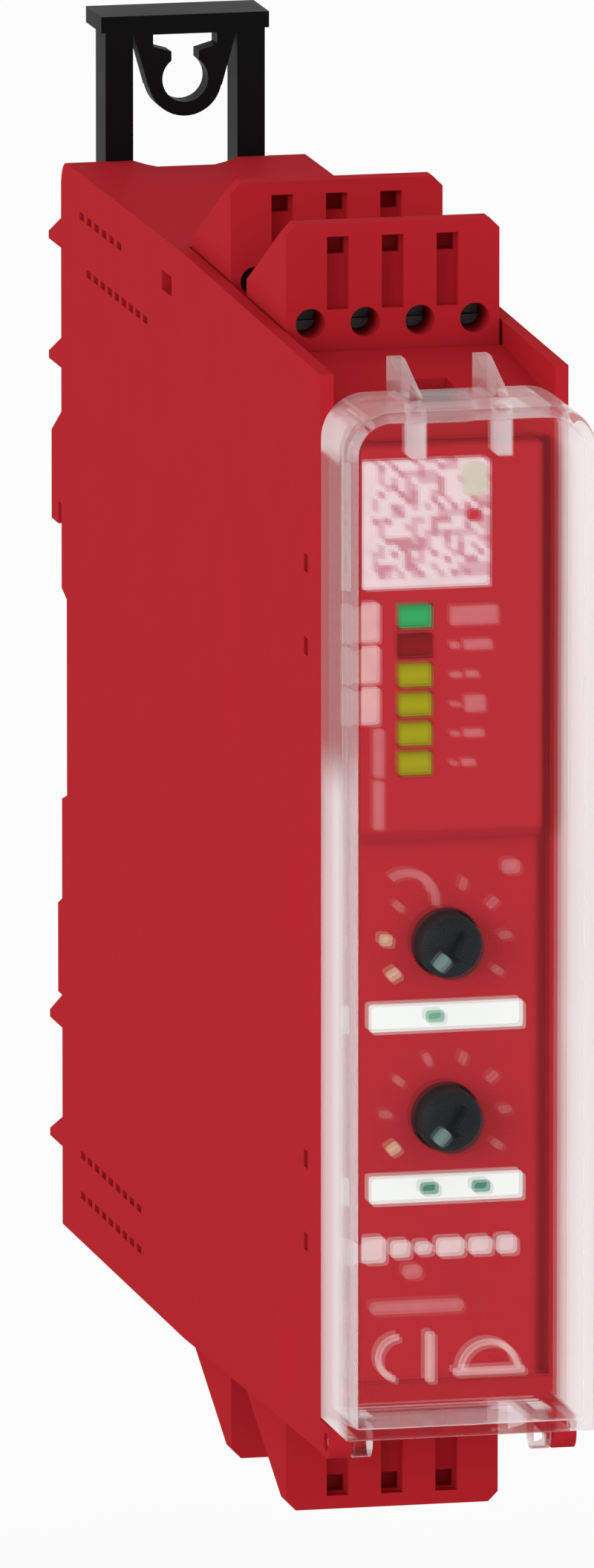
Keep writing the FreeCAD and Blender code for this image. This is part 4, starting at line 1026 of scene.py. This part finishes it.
class RELAY_OT_add_pictograms(bpy.types.Operator):
    """Plain bars and two simple line drawings at the foot of the panel"""

    bl_idname = "relay.add_pictograms"
    bl_label = "Add line drawings"

    def execute(self, context):
        tones = context.scene.relay_colours
        film = context.scene.relay_marks.film
        pale = print_material("drawing print", tones.white_print)
        faint = print_material("bar print", tones.faint_print)
        bm = bmesh.new()
        dome = above_foot(DOME_AT, film)
        add_arc(bm, dome, DOME_RADIUS * MM, STROKE * MM, film, DOME_START, DOME_SWEEP)
        add_bar(bm, dome, DOME_BASE, film * CROSSING, STROKE_CORNER)
        hook = above_foot(HOOK_AT, film)
        add_arc(bm, hook, HOOK_RADIUS * MM, STROKE * MM, film, HOOK_START, HOOK_SWEEP)
        add_bar(bm, hook + Vector((STEM_ASIDE * MM, 0, 0)), STEM, film, STROKE_CORNER)
        new_piece("line_drawings", bm, "housing", pale)
        bm = bmesh.new()
        height = PANEL_LOW.z + HEADING_HEIGHT * MM
        add_row(bm, HEADING_START * MM, height, HEADING, film, HEADING_CORNER)
        new_piece("heading_bars", bm, "housing", print_material("heading print", tones.heading))
        bm = bmesh.new()
        for at, size in BARS:
            add_bar(bm, above_foot(at, film), size, film, BAR_CORNER)
        new_piece("plain_bars", bm, "housing", faint)
        return {"FINISHED"}


def above_foot(at, film):
    """Middle of a mark placed from the panel's foot, in millimetres."""
    return on_panel(at[0] * MM, PANEL_LOW.z + at[1] * MM, film)


def add_bar(bm, centre, size, thick, corner):
    """A plate whose (width, height) and corner are in millimetres."""
    add_plate(bm, centre, size[0] * MM, size[1] * MM, thick, corner * MM)


KEY_AT, KEY_SIDE = Vector((-2.0, -1.5, 0.55)), 1.4
FILL_AT, FILL_SIDE = Vector((1.6, -1.2, 0.5)), 1.2
FLOOR_HALF, FLOOR_ROUGH = 8, 0.9
FLOOR_GLOW = 0.93  # the floor's share of plain white where it is seen directly
SENSOR, FAR = 36, 100  # width in millimetres, clipping distance in metres


class RELAY_OT_set_stage(bpy.types.Operator):
    """Pale floor, soft lamps, even white surroundings and the camera"""

    bl_idname = "relay.set_stage"
    bl_label = "Set stage"

    def execute(self, context):
        studio = context.scene.relay_studio
        lay_floor(studio)
        set_world(context.scene, studio)
        aim = Vector((0, -studio.depth, 0))
        add_lamp("key lamp", KEY_AT, aim, KEY_SIDE, studio.key)
        add_lamp("fill lamp", FILL_AT, aim, FILL_SIDE, studio.fill)
        set_camera(context.scene, studio, aim)
        context.scene.view_settings.view_transform = "Standard"
        return {"FINISHED"}


def lay_floor(studio):
    """A wide plain floor, almost white to the camera, with room to pull the lower blocks out."""
    bm = bmesh.new()
    bmesh.ops.create_grid(bm, x_segments=1, y_segments=1, size=FLOOR_HALF)
    bmesh.ops.translate(bm, verts=bm.verts, vec=(0, 0, CAD_BOX[0].z - studio.drop))
    mesh = bpy.data.meshes.new("floor")
    bm.to_mesh(mesh)
    bm.free()
    material, tree, shader, _ = new_material("pale floor", studio.floor)
    shader.inputs["Roughness"].default_value = FLOOR_ROUGH
    shader.inputs["Specular IOR Level"].default_value = 0.0
    glow = add_node(tree, "ShaderNodeEmission", (0, -300), Strength=1.0)
    share = both(tree, seen_directly(tree), FLOOR_GLOW)
    mixer = mix_shaders(tree, (300, 0), share, shader, glow)
    output = tree.nodes["Material Output"]
    output.location = (500, 0)
    tree.links.new(mixer.outputs[0], output.inputs["Surface"])
    mesh.materials.append(material)
    floor = bpy.data.objects.new("floor", mesh)
    bpy.context.scene.collection.objects.link(floor)


def seen_directly(tree):
    """1 for a ray from the camera, a mirror or glass, else 0."""
    path = add_node(tree, "ShaderNodeLightPath", (-1200, 500))
    straight = either(tree, path.outputs["Is Camera Ray"], path.outputs["Is Transmission Ray"])
    return either(tree, straight, path.outputs["Is Glossy Ray"])


def set_world(scene, studio):
    """Even light all round; white to the camera and in mirrors and glass."""
    world = bpy.data.worlds.new("studio")
    scene.world = world
    world.use_nodes = True
    tree = world.node_tree
    tree.nodes.clear()
    strength = add_math(
        tree, "MULTIPLY_ADD", (-200, 0), seen_directly(tree), 1 - studio.sky, studio.sky
    )
    sky = add_node(tree, "ShaderNodeBackground", (0, 0), Color=(1, 1, 1, 1))
    output = add_node(tree, "ShaderNodeOutputWorld", (200, 0))
    tree.links.new(strength, sky.inputs["Strength"])
    tree.links.new(sky.outputs[0], output.inputs["Surface"])


def add_lamp(name, at, aim, side, power):
    """A large square lamp that faces the relay."""
    light = bpy.data.lights.new(name, "AREA")
    light.shape = "SQUARE"
    light.size = side
    light.energy = power
    lamp = bpy.data.objects.new(name, light)
    lamp.location = at
    lamp.rotation_euler = (aim - at).to_track_quat("-Z", "Y").to_euler()
    bpy.context.scene.collection.objects.link(lamp)


def set_camera(scene, studio, aim):
    """Long lens from the front left, a little above."""
    turn, rise = studio.azimuth, studio.elevation
    level = math.cos(rise)
    back = Vector((math.sin(turn) * level, -math.cos(turn) * level, math.sin(rise)))
    facing = (-back).to_track_quat("-Z", "Y")
    aim = aim + facing @ Vector((-studio.aside, studio.above, 0))
    data = bpy.data.cameras.new("camera")
    data.lens = studio.lens
    data.sensor_width = SENSOR
    data.clip_end = FAR
    camera = bpy.data.objects.new("camera", data)
    camera.location = aim + back * studio.distance
    camera.rotation_euler = facing.to_euler()
    scene.collection.objects.link(camera)
    scene.camera = camera


class RELAY_PT_sidebar(bpy.types.Panel):
    """Lists the steps that dress the relay"""

    bl_idname = "RELAY_PT_sidebar"
    bl_label = "Relay"
    bl_space_type = "VIEW_3D"
    bl_region_type = "UI"
    bl_category = "Relay"

    def draw(self, context):
        for step in STEPS:
            self.layout.operator(step.bl_idname)


STEPS = (
    RELAY_OT_finish_housing,
    RELAY_OT_finish_slides,
    RELAY_OT_finish_cover,
    RELAY_OT_finish_knobs,
    RELAY_OT_finish_lamps,
    RELAY_OT_finish_terminals,
    RELAY_OT_finish_inside,
    RELAY_OT_add_latch_spring,
    RELAY_OT_add_code_field,
    RELAY_OT_add_lamp_marks,
    RELAY_OT_add_dial_marks,
    RELAY_OT_add_marking_strips,
    RELAY_OT_add_pictograms,
    RELAY_OT_set_stage,
)
SETTINGS = (
    ("relay_colours", RelayColours),
    ("relay_marks", RelayMarks),
    ("relay_spring", RelaySpring),
    ("relay_studio", RelayStudio),
)


def register():
    """Adds the settings, the steps and the sidebar."""
    for name, group in SETTINGS:
        bpy.utils.register_class(group)
        setattr(bpy.types.Scene, name, PointerProperty(type=group))
    for step in STEPS:
        bpy.utils.register_class(step)
    bpy.utils.register_class(RELAY_PT_sidebar)


def unregister():
    """Takes the sidebar, the steps and the settings out again."""
    bpy.utils.unregister_class(RELAY_PT_sidebar)
    for step in reversed(STEPS):
        bpy.utils.unregister_class(step)
    for name, group in reversed(SETTINGS):
        delattr(bpy.types.Scene, name)
        bpy.utils.unregister_class(group)


def main():
    """Runs every step in order."""
    register()
    for step in STEPS:
        group, name = step.bl_idname.split(".")
        result = getattr(getattr(bpy.ops, group), name)()
        if result != {"FINISHED"}:
            raise RuntimeError(f"{step.bl_label} did not finish")


if __name__ == "__main__":
    main()
